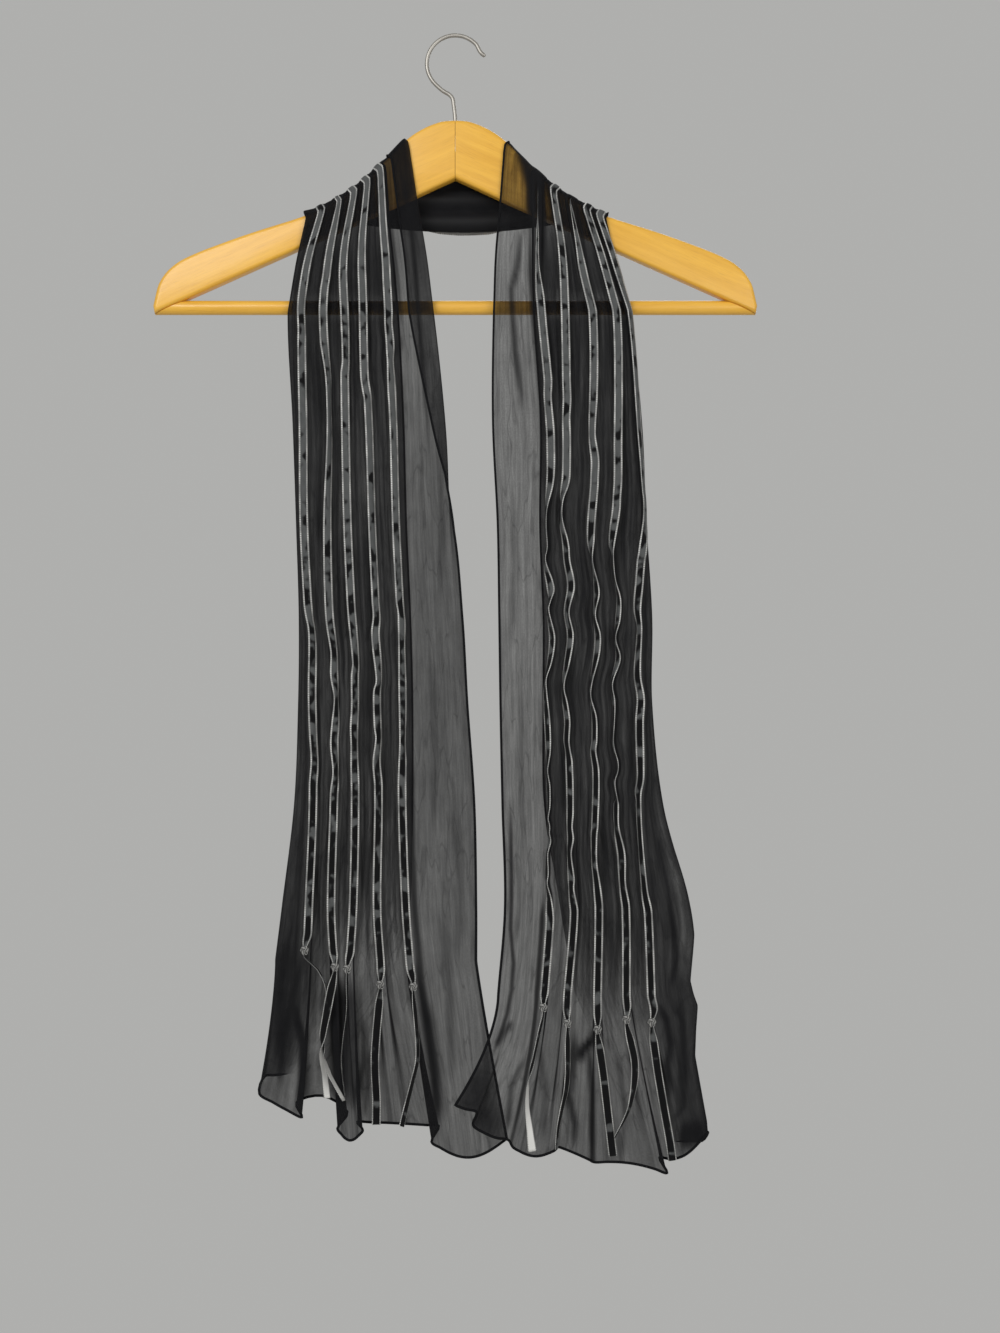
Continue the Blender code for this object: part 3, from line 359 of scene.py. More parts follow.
# Steps between neighbouring points across the cloth
MARGIN_STEPS = (8, 4, 6, 8, 8, 6, 6)
CREST_STEPS = 6
PLEAT_STEPS = (4, 4, 4, 4)
SIDE_STEPS = (8, 10, 4)
BACK_STEPS = 8

# The least distance between points, the least length of a vector, the weakest side of a line, and
# how far to each side the slope of the arm's top is measured
LEAST_APART = 1e-3
LEAST_LENGTH = 1e-9
WEAK_SIDE = 0.2
SLOPE_REACH = 4.0


def lerp(start, end, share):
    return start + (end - start) * share


def keyed(places, table):
    """Values at some places, on straight lines between a table's (place, value) pairs."""
    return np.interp(places, *zip(*table))


def ease(value):
    """A smooth step from 0 to 1 as value goes from 0 to 1."""
    value = min(1.0, max(0.0, value))
    return value * value * (3 - 2 * value)


def eased(value):
    """The same smooth step for an array."""
    value = np.clip(value, 0.0, 1.0)
    return value * value * (3 - 2 * value)


def smooth(keys, values, at):
    """The value at a place on the smooth curve through the keys' values, level past its ends."""
    if at <= keys[0]:
        return values[0]
    if at >= keys[-1]:
        return values[-1]
    last = len(keys) - 1
    here = max(i for i in range(last) if keys[i] <= at)
    span = keys[here + 1] - keys[here]
    slopes = []
    for i in (here, here + 1):
        before, after = max(0, i - 1), min(last, i + 1)
        slopes.append((values[after] - values[before]) / (keys[after] - keys[before]))
    share = (at - keys[here]) / span
    rise = values[here + 1] - values[here]
    bend = share * (1 - share)
    start_pull = (slopes[0] * span - rise) * (1 - share)
    end_pull = (rise - slopes[1] * span) * share
    return values[here] + rise * share + bend * (start_pull + end_pull)


def between_rows(rows, keys, at):
    """The values at a place between a table's rows, but for the first: on smooth curves."""
    return [smooth(keys, values, at) for values in list(zip(*rows))[1:]]


def drops_of(rows):
    return [row.drop for row in rows]


def refined(points, steps):
    """The points of each row on a smooth curve through them, with so many steps to each gap."""
    apart = np.sqrt(np.linalg.norm(np.diff(points, axis=1), axis=2)) + LEAST_APART
    apart = np.concatenate([apart[:, :1], apart, apart[:, -1:]], axis=1)[:, :, None]
    first = 2 * points[:, :1] - points[:, 1:2]
    last = 2 * points[:, -1:] - points[:, -2:-1]
    full = np.concatenate([first, points, last], axis=1)
    slope = np.diff(full, axis=1) / apart
    joined = (full[:, 2:] - full[:, :-2]) / (apart[:, 1:] + apart[:, :-1])
    tangent = slope[:, :-1] - joined + slope[:, 1:]
    pieces = []
    for i, count in enumerate(steps):
        share = (np.arange(count) / count)[None, :, None]
        span = apart[:, i + 1][:, None]
        start, end = points[:, i][:, None], points[:, i + 1][:, None]
        rise = end - start
        bend = share * (1 - share)
        pull = (tangent[:, i][:, None] * span - rise) * (1 - share)
        pull += (rise - tangent[:, i + 1][:, None] * span) * share
        pieces.append(start + rise * share + bend * pull)
    pieces.append(points[:, -1:])
    return np.concatenate(pieces, axis=1)


def refined_both(rows, down_steps):
    """A grid of points on smooth curves, with so many steps down between its rows."""
    grid = refined(rows, column_steps()).swapaxes(0, 1)
    return refined(grid, [down_steps] * (len(rows) - 1)).swapaxes(0, 1)


def arm_top_drop(outward):
    """The drop of the arm's top at a distance outward."""
    return smooth([row.outward for row in ARM_TOP], [row.drop for row in ARM_TOP], outward)


def arm_top_at(outward):
    """The drop of the arm's top, and its outward and upward normal, at a distance outward."""
    fall = arm_top_drop(outward + SLOPE_REACH) - arm_top_drop(outward - SLOPE_REACH)
    length = math.hypot(2 * SLOPE_REACH, fall)
    return arm_top_drop(outward), fall / length, 2 * SLOPE_REACH / length


def sway_at(panel, name, drop):
    """How far a ribbon has strayed outward at a drop, and its turn in radians."""
    drops, shifts, turns = zip(*panel.sway[name])
    return smooth(drops, shifts, drop), math.radians(smooth(drops, turns, drop))


def across_points(at, depth, turns):
    """Points (outward, forward) across the cloth, from its side edge to its tucked edge."""
    folded = ease((at.edge - at.fold) / FOLD_TURN / 2 + 0.5)
    free = ease((depth.crest - depth.trough) / FREE_DEPTH)
    over = depth.margin + folded * (FOLD_LIFT * free + FOLD_REST * (1 - free))
    width = max(abs(at.edge - at.fold), FOLD_WIDTH)
    angle = math.pi * folded
    points = [(at.fold - width * math.cos(angle), over + width * math.sin(angle) * free)]
    points.append((at.fold, over))
    points.append((at.fold + FOLD_CORNER * (1 - folded), depth.margin))
    for wave in MARGIN_WAVES:
        points.append((lerp(at.fold, at.band, wave.share), depth.margin + wave.forward * free))
    points.append((at.band, depth.margin))
    edges = [ribbon_edges(getattr(at, name), depth, turns[name]) for name in RIBBON_NAMES]
    unders = [pleat_under(depth, turns[name]) for name in RIBBON_NAMES]
    for number, (inner, outer) in enumerate(edges):
        points += [inner, outer]
        if number + 1 < len(edges):
            reaches = unders[number], unders[number + 1]
            points += gap_points(outer, edges[number + 1][0], reaches, depth, free)
    points += side_points(edges[-1][1], at, depth)
    return points


def ribbon_edges(centre, depth, turn):
    """The inner and outer edge of the flat crest that carries a ribbon."""
    reach = RIBBON_WIDTH / 2 * math.cos(turn)
    back = RIBBON_WIDTH * math.sin(turn)
    inner = (centre - reach, depth.crest + min(0.0, back))
    return inner, (centre + reach, depth.crest - max(0.0, back))


def pleat_under(depth, turn):
    """How far a pleat reaches under a ribbon: it keeps clear of one that is turned."""
    return depth.tuck_under * math.cos(turn) - PLEAT_CLEAR * abs(math.sin(turn))


def gap_points(outer, inner, reaches, depth, free):
    """The pleat between two ribbons: in under the first, a low bulge, and out under the next."""
    step = CLOTH * lerp(LEAST_STEP, 1.0, free)
    first = (outer[0] - reaches[0], min(depth.trough, outer[1] - step))
    last = (inner[0] + reaches[1], min(depth.trough, inner[1] - step))
    return [first, (lerp(first[0], last[0], 0.5), depth.trough + GAP_BULGE * free), last]


def side_points(outer_edge, at, depth):
    """From the last ribbon round the outer fold and back behind the ribbons."""
    side = depth.back + SIDE_TURN
    points = [(lerp(outer_edge[0], at.outer, 0.5), lerp(outer_edge[1], side, SIDE_SHARE))]
    points.append((at.outer, side))
    for i in range(BACK_POINTS):
        share = i / (BACK_POINTS - 1)
        points.append((lerp(at.outer, at.tuck, share), depth.back))
    return points


def depth_at(drop):
    """The layers' depths at a drop below the trouser bar's top."""
    return Depth(drop, *between_rows(DEPTH_TABLE, drops_of(DEPTH_TABLE), drop))


def blend_depth(start, end, share):
    return Depth(0.0, *(lerp(a, b, share) for a, b in zip(start[1:], end[1:])))


def turns_at(panel, drop):
    return {name: sway_at(panel, name, drop)[1] for name in RIBBON_NAMES}


def swayed(panel, at, drop):
    """The stations at a drop with every ribbon's straying added."""
    strayed = {name: getattr(at, name) + sway_at(panel, name, drop)[0] for name in RIBBON_NAMES}
    return at._replace(**strayed)


def level_row(panel, drop):
    """A row across the cloth that lies level, as points (outward, forward, drop)."""
    at = Across(drop, *between_rows(panel.table, drops_of(panel.table), drop))
    section = across_points(swayed(panel, at, drop), depth_at(drop), turns_at(panel, drop))
    return [(*point, drop) for point in section]


def round_row(panel, number, shift=0.0):
    """A row where the cloth lies round the arm's top edge: 0 at its crest, 3 at its face."""
    depth = SEAM_DEPTH if number < 1 else blend_depth(SEAM_DEPTH, QUARTER_DEPTH, (number - 1) / 2)
    section = across_points(panel.table[0], depth, turns_at(panel, 0.0))
    return [round_place(point, number, shift) for point in section]


def round_place(point, number, shift):
    """Where a point that rises above the arm's top edge lies in a row round that edge."""
    outward, rise = point[0] - shift, point[1]
    drop, lean, up = arm_top_at(outward)
    flat = WOOD_FACE - WOOD_EDGE
    corner = WOOD_EDGE + rise
    if number <= 1:
        above, forward = rise, flat * number
    else:
        angle = math.radians(ROUND_ANGLE * (number - 1))
        above = corner * math.cos(angle) - WOOD_EDGE
        forward = flat + corner * math.sin(angle)
    return outward + above * lean, forward - WOOD_FACE, drop - above * up


def upper_row(panel, share):
    """A row between the arm's face, at share 0, and the level row at the trouser bar."""
    starts = round_row(panel, 3)
    plain = across_points(panel.table[0], QUARTER_DEPTH, turns_at(panel, 0.0))
    first = panel.table[2].drop
    depth = blend_depth(QUARTER_DEPTH, DEPTH_TABLE[0], ease(share))
    drop = lerp(UPPER_FROM, first, share)
    at = swayed(panel, upper_stations(panel, share), drop)
    section = across_points(at, depth, turns_at(panel, drop))
    left = 1 - ease(2 * share)
    row = []
    for point, start, rest in zip(section, starts, plain):
        row.append((point[0] + (start[0] - rest[0]) * left, point[1], lerp(start[2], first, share)))
    return row


def upper_stations(panel, share):
    """The stations across the cloth, part of the way from the arm down to the bar."""
    return Across(0.0, *between_rows(panel.table[:3], (0.0, UPPER_MIDDLE, 1.0), share))


def hem_points(panel):
    """(outward, forward, drop, ease) of each point across the cloth at the hem."""
    points = []
    for run in panel.hem:
        for i in range(run.first, run.last + 1):
            share = (i - run.first) / (run.last - run.first)
            arch = math.sin(math.pi * share)
            outward = lerp(*run.outward, share)
            forward = lerp(*run.forward, share) + run.bulge * arch
            drop = lerp(*run.drop, share) + run.belly * arch
            points.append((outward, forward, drop, run.ease))
    return points


def loose_row(panel, share):
    """A row of the loose end, from the last level row at share 0 to the hem at share 1."""
    row = []
    for (out, forward, drop), hem in zip(level_row(panel, panel.table[-1].drop), hem_points(panel)):
        pull = share ** hem[3]
        row.append((lerp(out, hem[0], pull), lerp(forward, hem[1], pull), lerp(drop, hem[2], share)))
    return row


def panel_rows(panel):
    """All rows of a front panel, from the seam on the arm's crest to the hem."""
    first, last = panel.table[2].drop, panel.table[-1].drop
    count = math.ceil((last - first) / LEVEL_STEP)
    rows = [round_row(panel, number / 2) for number in range(ROUND_ROWS)]
    rows += [upper_row(panel, i / UPPER_ROWS) for i in range(1, UPPER_ROWS + 1)]
    rows += [level_row(panel, lerp(first, last, i / count)) for i in range(1, count + 1)]
    rows += [loose_row(panel, i / LOOSE_ROWS) for i in range(1, LOOSE_ROWS + 1)]
    return np.array(rows)


def column_steps():
    """How many fine columns there are between neighbouring points across the cloth."""
    steps = list(MARGIN_STEPS)
    for number in range(len(RIBBON_NAMES)):
        steps.append(CREST_STEPS)
        if number + 1 < len(RIBBON_NAMES):
            steps += PLEAT_STEPS
    return steps + list(SIDE_STEPS) + [BACK_STEPS] * (BACK_POINTS - 1)


def ribbon_columns(number):
    """The fine columns of the crest that carries a ribbon, from its inner edge to its outer one."""
    margin_points = 4 + len(MARGIN_WAVES)
    coarse = margin_points + number * (1 + len(PLEAT_STEPS))
    first = sum(column_steps()[:coarse])
    return first, first + CREST_STEPS


def outer_column():
    """The fine column of the outer fold, and the first column of the back layer."""
    last = ribbon_columns(len(RIBBON_NAMES) - 1)[1]
    return last + sum(SIDE_STEPS[:2]), last + sum(SIDE_STEPS)


def panel_grid(panel):
    """The fine grid of the cloth, as (outward, forward, drop), and the layers gathered in creases."""
    grid = refined_both(panel_rows(panel), ROW_STEPS)
    fold, back = outer_column()
    if panel is RIGHT:
        swing = keyed(grid[:, fold, 2], OUTER_SWING)
        column = np.arange(grid.shape[1])
        start = ribbon_columns(len(RIBBON_NAMES) - 1)[1]
        behind = 1 - (column - fold) / SWING_BACK
        part = np.where(column < fold, (column - start) / (fold - start), behind)
        grid[..., 0] += swing[:, None] * eased(part)[None]
    layers = np.zeros(grid.shape[:2])
    for creases, columns in ((panel.creases, slice(0, fold)), (panel.back_creases, slice(back, None))):
        for crease in creases:
            share = crease_share(grid[:, columns], crease)
            grid[:, columns, 1] += crease.forward * share
            # The crease's layers: real extra cloth and painted shade
            layers[:, columns] += crease.layers * share
    return grid, layers


def crease_share(grid, crease):
    """How much of a crease reaches each point: 1 on its line, less beside it and near its ends."""
    line = np.array(crease.line)
    place = grid[..., (0, 2)]
    best = np.full(place.shape[:2], np.inf)
    run = np.zeros(place.shape[:2])
    done = 0.0
    for start, end in zip(line, line[1:]):
        step = end - start
        length = np.hypot(*step)
        along = np.clip(((place - start) @ step) / length**2, 0.0, 1.0)
        apart = np.linalg.norm(place - start - along[..., None] * step, axis=-1)
        nearer = apart < best
        best[nearer] = apart[nearer]
        run[nearer] = (done + along * length)[nearer]
        done += length
    ends = eased(np.minimum(run, done - run) / (done * CREASE_FADE) + CREASE_END)
    return np.exp(-((best / crease.width) ** 2)) * ends


def in_place(grid, side):
    """Places in the frame, in millimetres, of a front panel's points."""
    return np.stack([side * grid[..., 0], -WOOD_FACE - grid[..., 1], -grid[..., 2]], axis=-1)


def neck_half(panel):
    """The neck's rows round one arm's top edge, from its crest to its back, as places in the frame."""
    rows = []
    for i in range(ROUND_ROWS):
        shift = np.interp(i / 2, range(len(NECK_SHIFTS)), NECK_SHIFTS)
        rows.append(round_row(panel, i / 2, shift))
    place = in_place(np.array(rows), panel.side)
    place[..., 1] *= -1
    return place


def neck_grid():
    """The stretch behind the neck, from the left seam to the right one, and where its forward folds get a
    painted highlight.
    """
    left, right = neck_half(LEFT), neck_half(RIGHT)
    section = across_points(NECK_STATIONS, NECK_DEPTH, dict.fromkeys(RIBBON_NAMES, 0.0))
    middle = np.array([(0.0, WOOD_FACE + back, -drop) for drop, back in section])
    start, end = left[-1], right[-1]
    pull = middle * 2 - (start + end) / 2
    arc = []
    for i in range(1, NECK_ROWS + 1):
        share = i / (NECK_ROWS + 1)
        arc.append(start * (1 - share) ** 2 + pull * (2 * share * (1 - share)) + end * share**2)
    grid = refined_both(np.concatenate([left, np.array(arc), right[::-1]]), NECK_ROW_STEPS)
    along = np.linspace(-1.0, 1.0, len(grid))[:, None]
    free = eased((1 - np.abs(along)) / (1 - NECK_PART) - NECK_FADE)
    lit = np.zeros(grid.shape[:2])
    for fold in NECK_FOLDS:
        line = fold.line + fold.dip * (1 - along**2)
        near = np.exp(-(((-grid[..., 2] - line) / fold.width) ** 2))
        reach = np.exp(-(((along - fold.middle) / fold.reach) ** 2))
        grid[..., 1] += fold.back * near * reach * free
        # Folds that stand forward get a painted highlight in the cloth's colour
        if fold.back < 0:
            lit += near * reach * free
    return grid, lit


def unit(vectors):
    return vectors / np.maximum(np.linalg.norm(vectors, axis=-1, keepdims=True), LEAST_LENGTH)


def grid_normals(grid):
    across = np.gradient(grid, axis=1)
    down = np.gradient(grid, axis=0)
    return unit(np.cross(across, down))


def placed(name, data):
    """A new object of the scene that holds some data."""
    thing = bpy.data.objects.new(name, data)
    bpy.context.scene.collection.objects.link(thing)
    return thing


def add_mesh(name, points, faces, looks, which=None, **attributes):
    """A mesh piece from places in millimetres. which gives each face's material by number."""
    mesh = bpy.data.meshes.new(name)
    mesh.from_pydata((points * MM).tolist(), [], [list(map(int, face)) for face in faces])
    for look in looks:
        mesh.materials.append(look)
    if which is not None:
        mesh.polygons.foreach_set("material_index", np.asarray(which, dtype=np.int32))
    for key, values in attributes.items():
        layer = mesh.attributes.new(key, "FLOAT", "POINT")
        layer.data.foreach_set("value", np.asarray(values, dtype=np.float32).ravel())
    mesh.shade_smooth()
    mesh.update()
    return placed(name, mesh)


def grid_faces(down, across, flip=False):
    corner = (np.arange(down - 1)[:, None] * across + np.arange(across - 1)[None, :]).ravel()
    faces = np.stack([corner, corner + across, corner + across + 1, corner + 1], axis=1)
    return faces[:, ::-1] if flip else faces


def lengths_along(grid, axis):
    """How far each point lies along its row or column, in millimetres."""
    apart = np.linalg.norm(np.diff(grid, axis=axis), axis=-1)
    start = np.zeros_like(np.take(apart, [0], axis=axis))
    return np.concatenate([start, np.cumsum(apart, axis=axis)], axis=axis)


# How many more layers gather beside a ribbon, how many the neck has, and how the streaks and the
# gathers fade towards the hem
GATHER = 1.6
GATHER_POWER = 3
NECK_LAYERS = 2.8
STREAK_FADE = ((640.0, 1.0), (730.0, 0.15))
GATHER_FADE = ((640.0, 1.0), (730.0, 0.25))

# Cloth that stands on edge to the front covers as much as this many layers, and no place has fewer
# than the least
ON_EDGE = 0.2
ON_EDGE_LAYERS = 2.6
LEAST_LAYERS = 0.6

# What one layer of the cloth lets through at a drop, in the margin and beyond it (with the trouser
# bar showing through), and how many fine columns before the first ribbon one gives way to the other
# Most of these shares are lower than one layer of the cloth lets through: painted shade, standing in for
# the shadow the cloth casts on what lies behind it
MARGIN_THROUGH = {
    "left": (
        (120.0, 0.28), (160.0, 0.28), (200.0, 0.33), (250.0, 0.3), (306.0, 0.225), (490.0, 0.19),
        (680.0, 0.24),
    ),
    "right": ((120.0, 0.47), (170.0, 0.40), (200.0, 0.37), (416.0, 0.35), (621.0, 0.31)),
}
# Over the trouser bar the cloth lets more through: painted light that offsets the shadow the cloth casts
# on the bar
BAR_THROUGH = ((165.0, 0.17), (188.0, 0.17), (194.0, 0.25), (205.0, 0.25), (212.0, 0.18))
THROUGH = {
    "left": ((120.0, 0.28), *BAR_THROUGH, (300.0, 0.24), (560.0, 0.24), (680.0, 0.2)),
    "right": ((120.0, 0.34), *BAR_THROUGH, (300.0, 0.22)),
}
THROUGH_BLEND = 12
NECK_THROUGH = 0.22

# How the tucked layer fades at a drop, and where across it that starts
TUCK_FADE = {"left": ((600.0, 1.0), (690.0, 0.0)), "right": ((660.0, 1.0), (735.0, 0.0))}
FADE_FROM = 0.16
FADE_OVER = 0.42


def gap_layers(count):
    """How many layers gather at each fine column: more beside the ribbons than between them."""
    layers = np.ones(count)
    for number in range(len(RIBBON_NAMES) - 1):
        start, end = ribbon_columns(number)[1], ribbon_columns(number + 1)[0]
        share = np.linspace(-1.0, 1.0, end - start + 1)
        layers[start : end + 1] += GATHER * np.abs(share) ** GATHER_POWER
    return layers


def front_cover(panel, layers, drops, creased):
    """How many layers a front panel has at each point, and what one of them lets through."""
    across = layers.shape[1]
    gathered = (gap_layers(across) - 1)[None] * keyed(drops, GATHER_FADE)
    layers = np.maximum(layers * (1 + gathered) + creased, LEAST_LAYERS)
    first, last = ribbon_columns(0)
    beyond = np.interp(np.arange(across), (first - THROUGH_BLEND, last), (0.0, 1.0))[None]
    through = lerp(keyed(drops, MARGIN_THROUGH[panel.name]), keyed(drops, THROUGH[panel.name]), beyond)
    back = outer_column()[1]
    kept = keyed(drops[:, back:], TUCK_FADE[panel.name])
    share = np.linspace(0.0, 1.0, across - back)[None]
    layers[:, back:] *= lerp(1.0, kept, eased((share - FADE_FROM) / FADE_OVER))
    return layers, through


def add_cloth(name, grid, look, flip, panel=None, creased=None, lit=0.0):
    """The sheer cloth as one open sheet. Where it stands on edge to the front it covers more."""
    down, across = grid.shape[:2]
    facing = np.abs(grid_normals(grid)[..., 1])
    layers = np.clip(1 / np.maximum(facing, ON_EDGE), 1.0, ON_EDGE_LAYERS)
    streaks = np.zeros((down, across))
    streaks[:, ribbon_columns(0)[0] : outer_column()[0]] = 1.0
    if panel is None:
        through = NECK_THROUGH
        layers = layers * gap_layers(across)[None] * NECK_LAYERS
    else:
        drops = -grid[..., 2]
        layers, through = front_cover(panel, layers, drops, creased)
        streaks *= keyed(drops, STREAK_FADE)
    along = lengths_along(grid, 0)[:, across // 2][:, None]
    width = lengths_along(grid, 1)[down // 2][None]
    return add_mesh(
        name,
        grid.reshape(-1, 3),
        grid_faces(down, across, flip),
        [look],
        cover=1 - through**layers,
        along=np.broadcast_to(along, (down, across)),
        across=np.broadcast_to(width, (down, across)),
        gather=streaks,
        lit=np.broadcast_to(lit, (down, across)),
    )


def tube(name, rings, looks, which=None, closed=False, **attributes):
    """A closed skin over rings of points, with flat ends unless the rings meet up."""
    count, around = rings.shape[:2]
    faces, numbers = [], []
    for r in range(count if closed else count - 1):
        after = (r + 1) % count
        for i in range(around):
            j = (i + 1) % around
            faces.append((r * around + i, r * around + j, after * around + j, after * around + i))
            numbers.append(0 if which is None else which[i])
    if not closed:
        faces.append(tuple(range(around))[::-1])
        faces.append(tuple((count - 1) * around + i for i in range(around)))
        numbers += [numbers[0], numbers[0]]
    return add_mesh(name, rings.reshape(-1, 3), faces, looks, numbers, **attributes)


def line_frames(line):
    """Two directions across a line at each of its points."""
    along = unit(np.gradient(line, axis=0))
    side = np.cross(along, (0.0, 1.0, 0.0))
    weak = np.linalg.norm(side, axis=1) < WEAK_SIDE
    side[weak] = np.cross(along[weak], (1.0, 0.0, 0.0))
    side = unit(side)
    for i in range(1, len(side)):
        if side[i] @ side[i - 1] < 0:
            side[i] *= -1
    return side, unit(np.cross(along, side))


def round_angles(count):
    return np.arange(count) / count * 2 * math.pi


def oval_rings(side, other, angles, wide=1.0, thick=1.0):
    """Points round an oval in the plane of two directions, at each place along a line."""
    rings = np.cos(angles)[None, :, None] * side[:, None] * wide
    return rings + np.sin(angles)[None, :, None] * other[:, None] * thick


def round_tube(name, line, radius, look, around=8):
    angles = round_angles(around)
    radius = np.broadcast_to(np.asarray(radius, dtype=float), (len(line),))
    rings = line[:, None] + oval_rings(*line_frames(line), angles) * radius[:, None, None]
    along = np.repeat(lengths_along(line, 0), around)
    return tube(name, rings, [look], along=along, across=np.tile(angles, len(line)))


# A ribbon's section: shares of its half width, and how far each point stands off its middle
RIBBON_SECTION = (-1.0, -0.66, -0.6, -0.35, 0.0, 0.35, 0.6, 0.66, 1.0)
RIBBON_PILE = (0.12, 0.18, 0.42, 0.55, 0.6, 0.55, 0.42, 0.18, 0.12)
RIBBON_BACK = -0.12
THIN_SHARE = 0.1

# How far a ribbon lies off the cloth at a drop and behind the neck, and how far below the cloth the
# neck's last ribbon shows at a distance across
RIBBON_OFF = ((120.0, 0.05), (150.0, 0.5))
NECK_RIBBON_OFF = 0.3
NECK_PEEP = ((-26.0, 0.0), (-12.0, 2.2), (2.0, 2.8), (24.0, 2.4), (36.0, 0.0))

# Each ribbon piece has these materials in this order
PILE_LOOK, PICOT_LOOK, SATIN_LOOK = 0, 1, 2

# Where the lengths of each ribbon and of each stretch start, in steps of these
RIBBON_START = 1731.0
STRETCH_START = 9137.0

# Ribbons that a pleat covers near the arm: the share of their width that shows at a drop
HIDDEN_TOPS = {
    ("right", "a"): ((0, 0.03), (134, 0.03), (146, 0.3), (172, 0.45), (192, 1.0)),
    ("right", "c"): ((0, 0.03), (120, 0.03), (130, 0.35), (150, 0.6), (172, 1.0)),
    ("left", "d"): ((0, 0.5), (112, 0.5), (150, 1.0)),
}

# How far above its knot a ribbon is drawn in, from what share of that it narrows, and by how much
KNOT_PULL = 13.0
KNOT_NARROW_FROM = 0.8
KNOT_NARROW = 0.6

# How far the pile is pressed flat at a drop, and behind the neck; pressed pile gets painted grey sheen
PRESSED = {
    "left": (
        (100, 0.95), (190, 0.8), (215, 0.5), (270, 0.82), (330, 0.75), (370, 0.55), (440, 0.45),
        (520, 0.34), (600, 0.26), (690, 0.2),
    ),
    "right": ((100, 0.5), (250, 0.75), (340, 0.62), (390, 0.36), (480, 0.26), (530, 0.1), (720, 0.1)),
}
NECK_PRESSED = 0.2


def ribbon_rings(middle, across, normal, width, picot):
    """The rings of points round a ribbon: its pile side, and then back along its reverse."""
    half = (width / 2)[:, None, None]
    section = np.array(RIBBON_SECTION)
    inside = np.sign(section) * (1 - (1 - np.abs(section)) * picot)
    section = np.where(np.abs(section) < 1, inside, section)
    section[len(section) // 2] = 0.0
    shares = section[None, :, None]
    thick = np.minimum(1.0, width / RIBBON_WIDTH + THIN_SHARE)[:, None, None]
    pile = np.array(RIBBON_PILE)[None, :, None] * thick
    front = middle[:, None] + across[:, None] * half * shares + normal[:, None] * pile
    back = middle[:, None] + across[:, None] * half * shares[:, ::-1] + normal[:, None] * RIBBON_BACK
    return np.concatenate([front, back], axis=1)


def add_ribbon(name, middle, across, normal, width, pressed, looks, start, picot=1.0):
    """A velvet ribbon with picot edges and a satin reverse."""
    points = len(RIBBON_SECTION)
    which = []
    for look in (PILE_LOOK, SATIN_LOOK):
        which += [PICOT_LOOK] + [look] * (points - 3) + [PICOT_LOOK] * 2
    section = np.array(RIBBON_SECTION) * RIBBON_WIDTH / 2
    lateral = np.concatenate([section, section[::-1]])
    return tube(
        name,
        ribbon_rings(middle, across, normal, width, picot),
        looks,
        which,
        along=np.repeat(lengths_along(middle, 0) + start, 2 * points),
        across=np.tile(lateral, len(middle)),
        pressed=np.repeat(pressed, 2 * points),
    )


def ribbon_start(side, number):
    """Where a ribbon's lengths are counted from, so that no two ribbons have the same patches."""
    return RIBBON_START * number + STRETCH_START * (side + 1)


def crest_line(grid, number, facing):
    """The middle of a ribbon's crest, the direction across it and its normal, down the cloth."""
    first, last = ribbon_columns(number)
    inner, outer = grid[:, first], grid[:, last]
    across = unit(outer - inner)
    middle = grid[:, first : last + 1].mean(axis=1)
    down = unit(np.gradient(middle, axis=0))
    normal = unit(np.cross(across, down)) * facing
    return middle, across, normal


def box_middle(node):
    """The middle of a CAD solid's box, in millimetres."""
    low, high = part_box(node)
    return np.array((low + high) / 2) / MM


def front_ribbon(panel, grid, number, looks):
    """A ribbon down a front panel, drawn in to its knot."""
    facing = -panel.side
    middle, across, normal = crest_line(grid, number, facing)
    knot = box_middle(f"knot_{panel.name}_{number + 1}")
    middle = middle + normal * keyed(-middle[:, 2], RIBBON_OFF)[:, None]
    last = int(np.argmax(-middle[:, 2] > -knot[2]))
    middle, across, normal = middle[: last + 1], across[: last + 1], normal[: last + 1]
    left = (-knot[2] + middle[:, 2]) / KNOT_PULL
    pull = eased(1 - left)[:, None]
    middle = middle * (1 - pull) + np.array([knot[0], knot[1], 0.0]) * pull + middle * pull * (0, 0, 1)
    across = unit(across * (1 - pull) + np.array([panel.side, 0.0, 0.0]) * pull)
    normal = unit(np.cross(across, unit(np.gradient(middle, axis=0)))) * facing
    drops = -middle[:, 2]
    width = RIBBON_WIDTH * (1 - KNOT_NARROW * eased(1 - left / KNOT_NARROW_FROM))
    key = (panel.name, RIBBON_NAMES[number])
    if key in HIDDEN_TOPS:
        width = width * keyed(drops, HIDDEN_TOPS[key])
    pressed = keyed(drops, PRESSED[panel.name])
    name = f"velvet_{panel.name}_{number + 1}"
    start = ribbon_start(panel.side, number)
    ribbon = add_ribbon(name, middle, across, normal, width, pressed, looks, start)
    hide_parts(f"ribbon_{panel.name}_{number + 1}")
    return ribbon


def neck_ribbon(grid, number, looks):
    """A ribbon across the neck, with the last one showing below the cloth."""
    middle, across, normal = crest_line(grid, number, 1)
    if normal[len(normal) // 2][1] < 0:
        normal = -normal
    middle = middle + normal * NECK_RIBBON_OFF
    if number == len(RIBBON_NAMES) - 1:
        middle[:, 2] -= keyed(middle[:, 0], NECK_PEEP)
    width = np.full(len(middle), RIBBON_WIDTH)
    pressed = np.full(len(middle), NECK_PRESSED)
    name = f"velvet_neck_{number + 1}"
    ribbon = add_ribbon(name, middle, across, normal, width, pressed, looks, ribbon_start(0, number))
    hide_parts(f"ribbon_neck_{number + 1}")
    return ribbon


# A knot: its curve's scale along each axis, how deep the curve weaves, its ribbon's half width and
# half thickness, the steps along and round it, how it leans forward, and where its looks change
KNOT_SIZE = (0.76, 0.7, 0.92)
KNOT_DEEP = 1.3
KNOT_WIDE = 1.5
KNOT_THICK = 0.7
KNOT_STEPS = 84
KNOT_AROUND = 12
KNOT_LEAN = (1.0, 2.5, 1.0)
KNOT_EDGE = 0.9

# The places along and across it that its looks use, in millimetres, and how far it is pressed
KNOT_STEP = 0.5
KNOT_ACROSS = 2
KNOT_PRESSED = 0.05


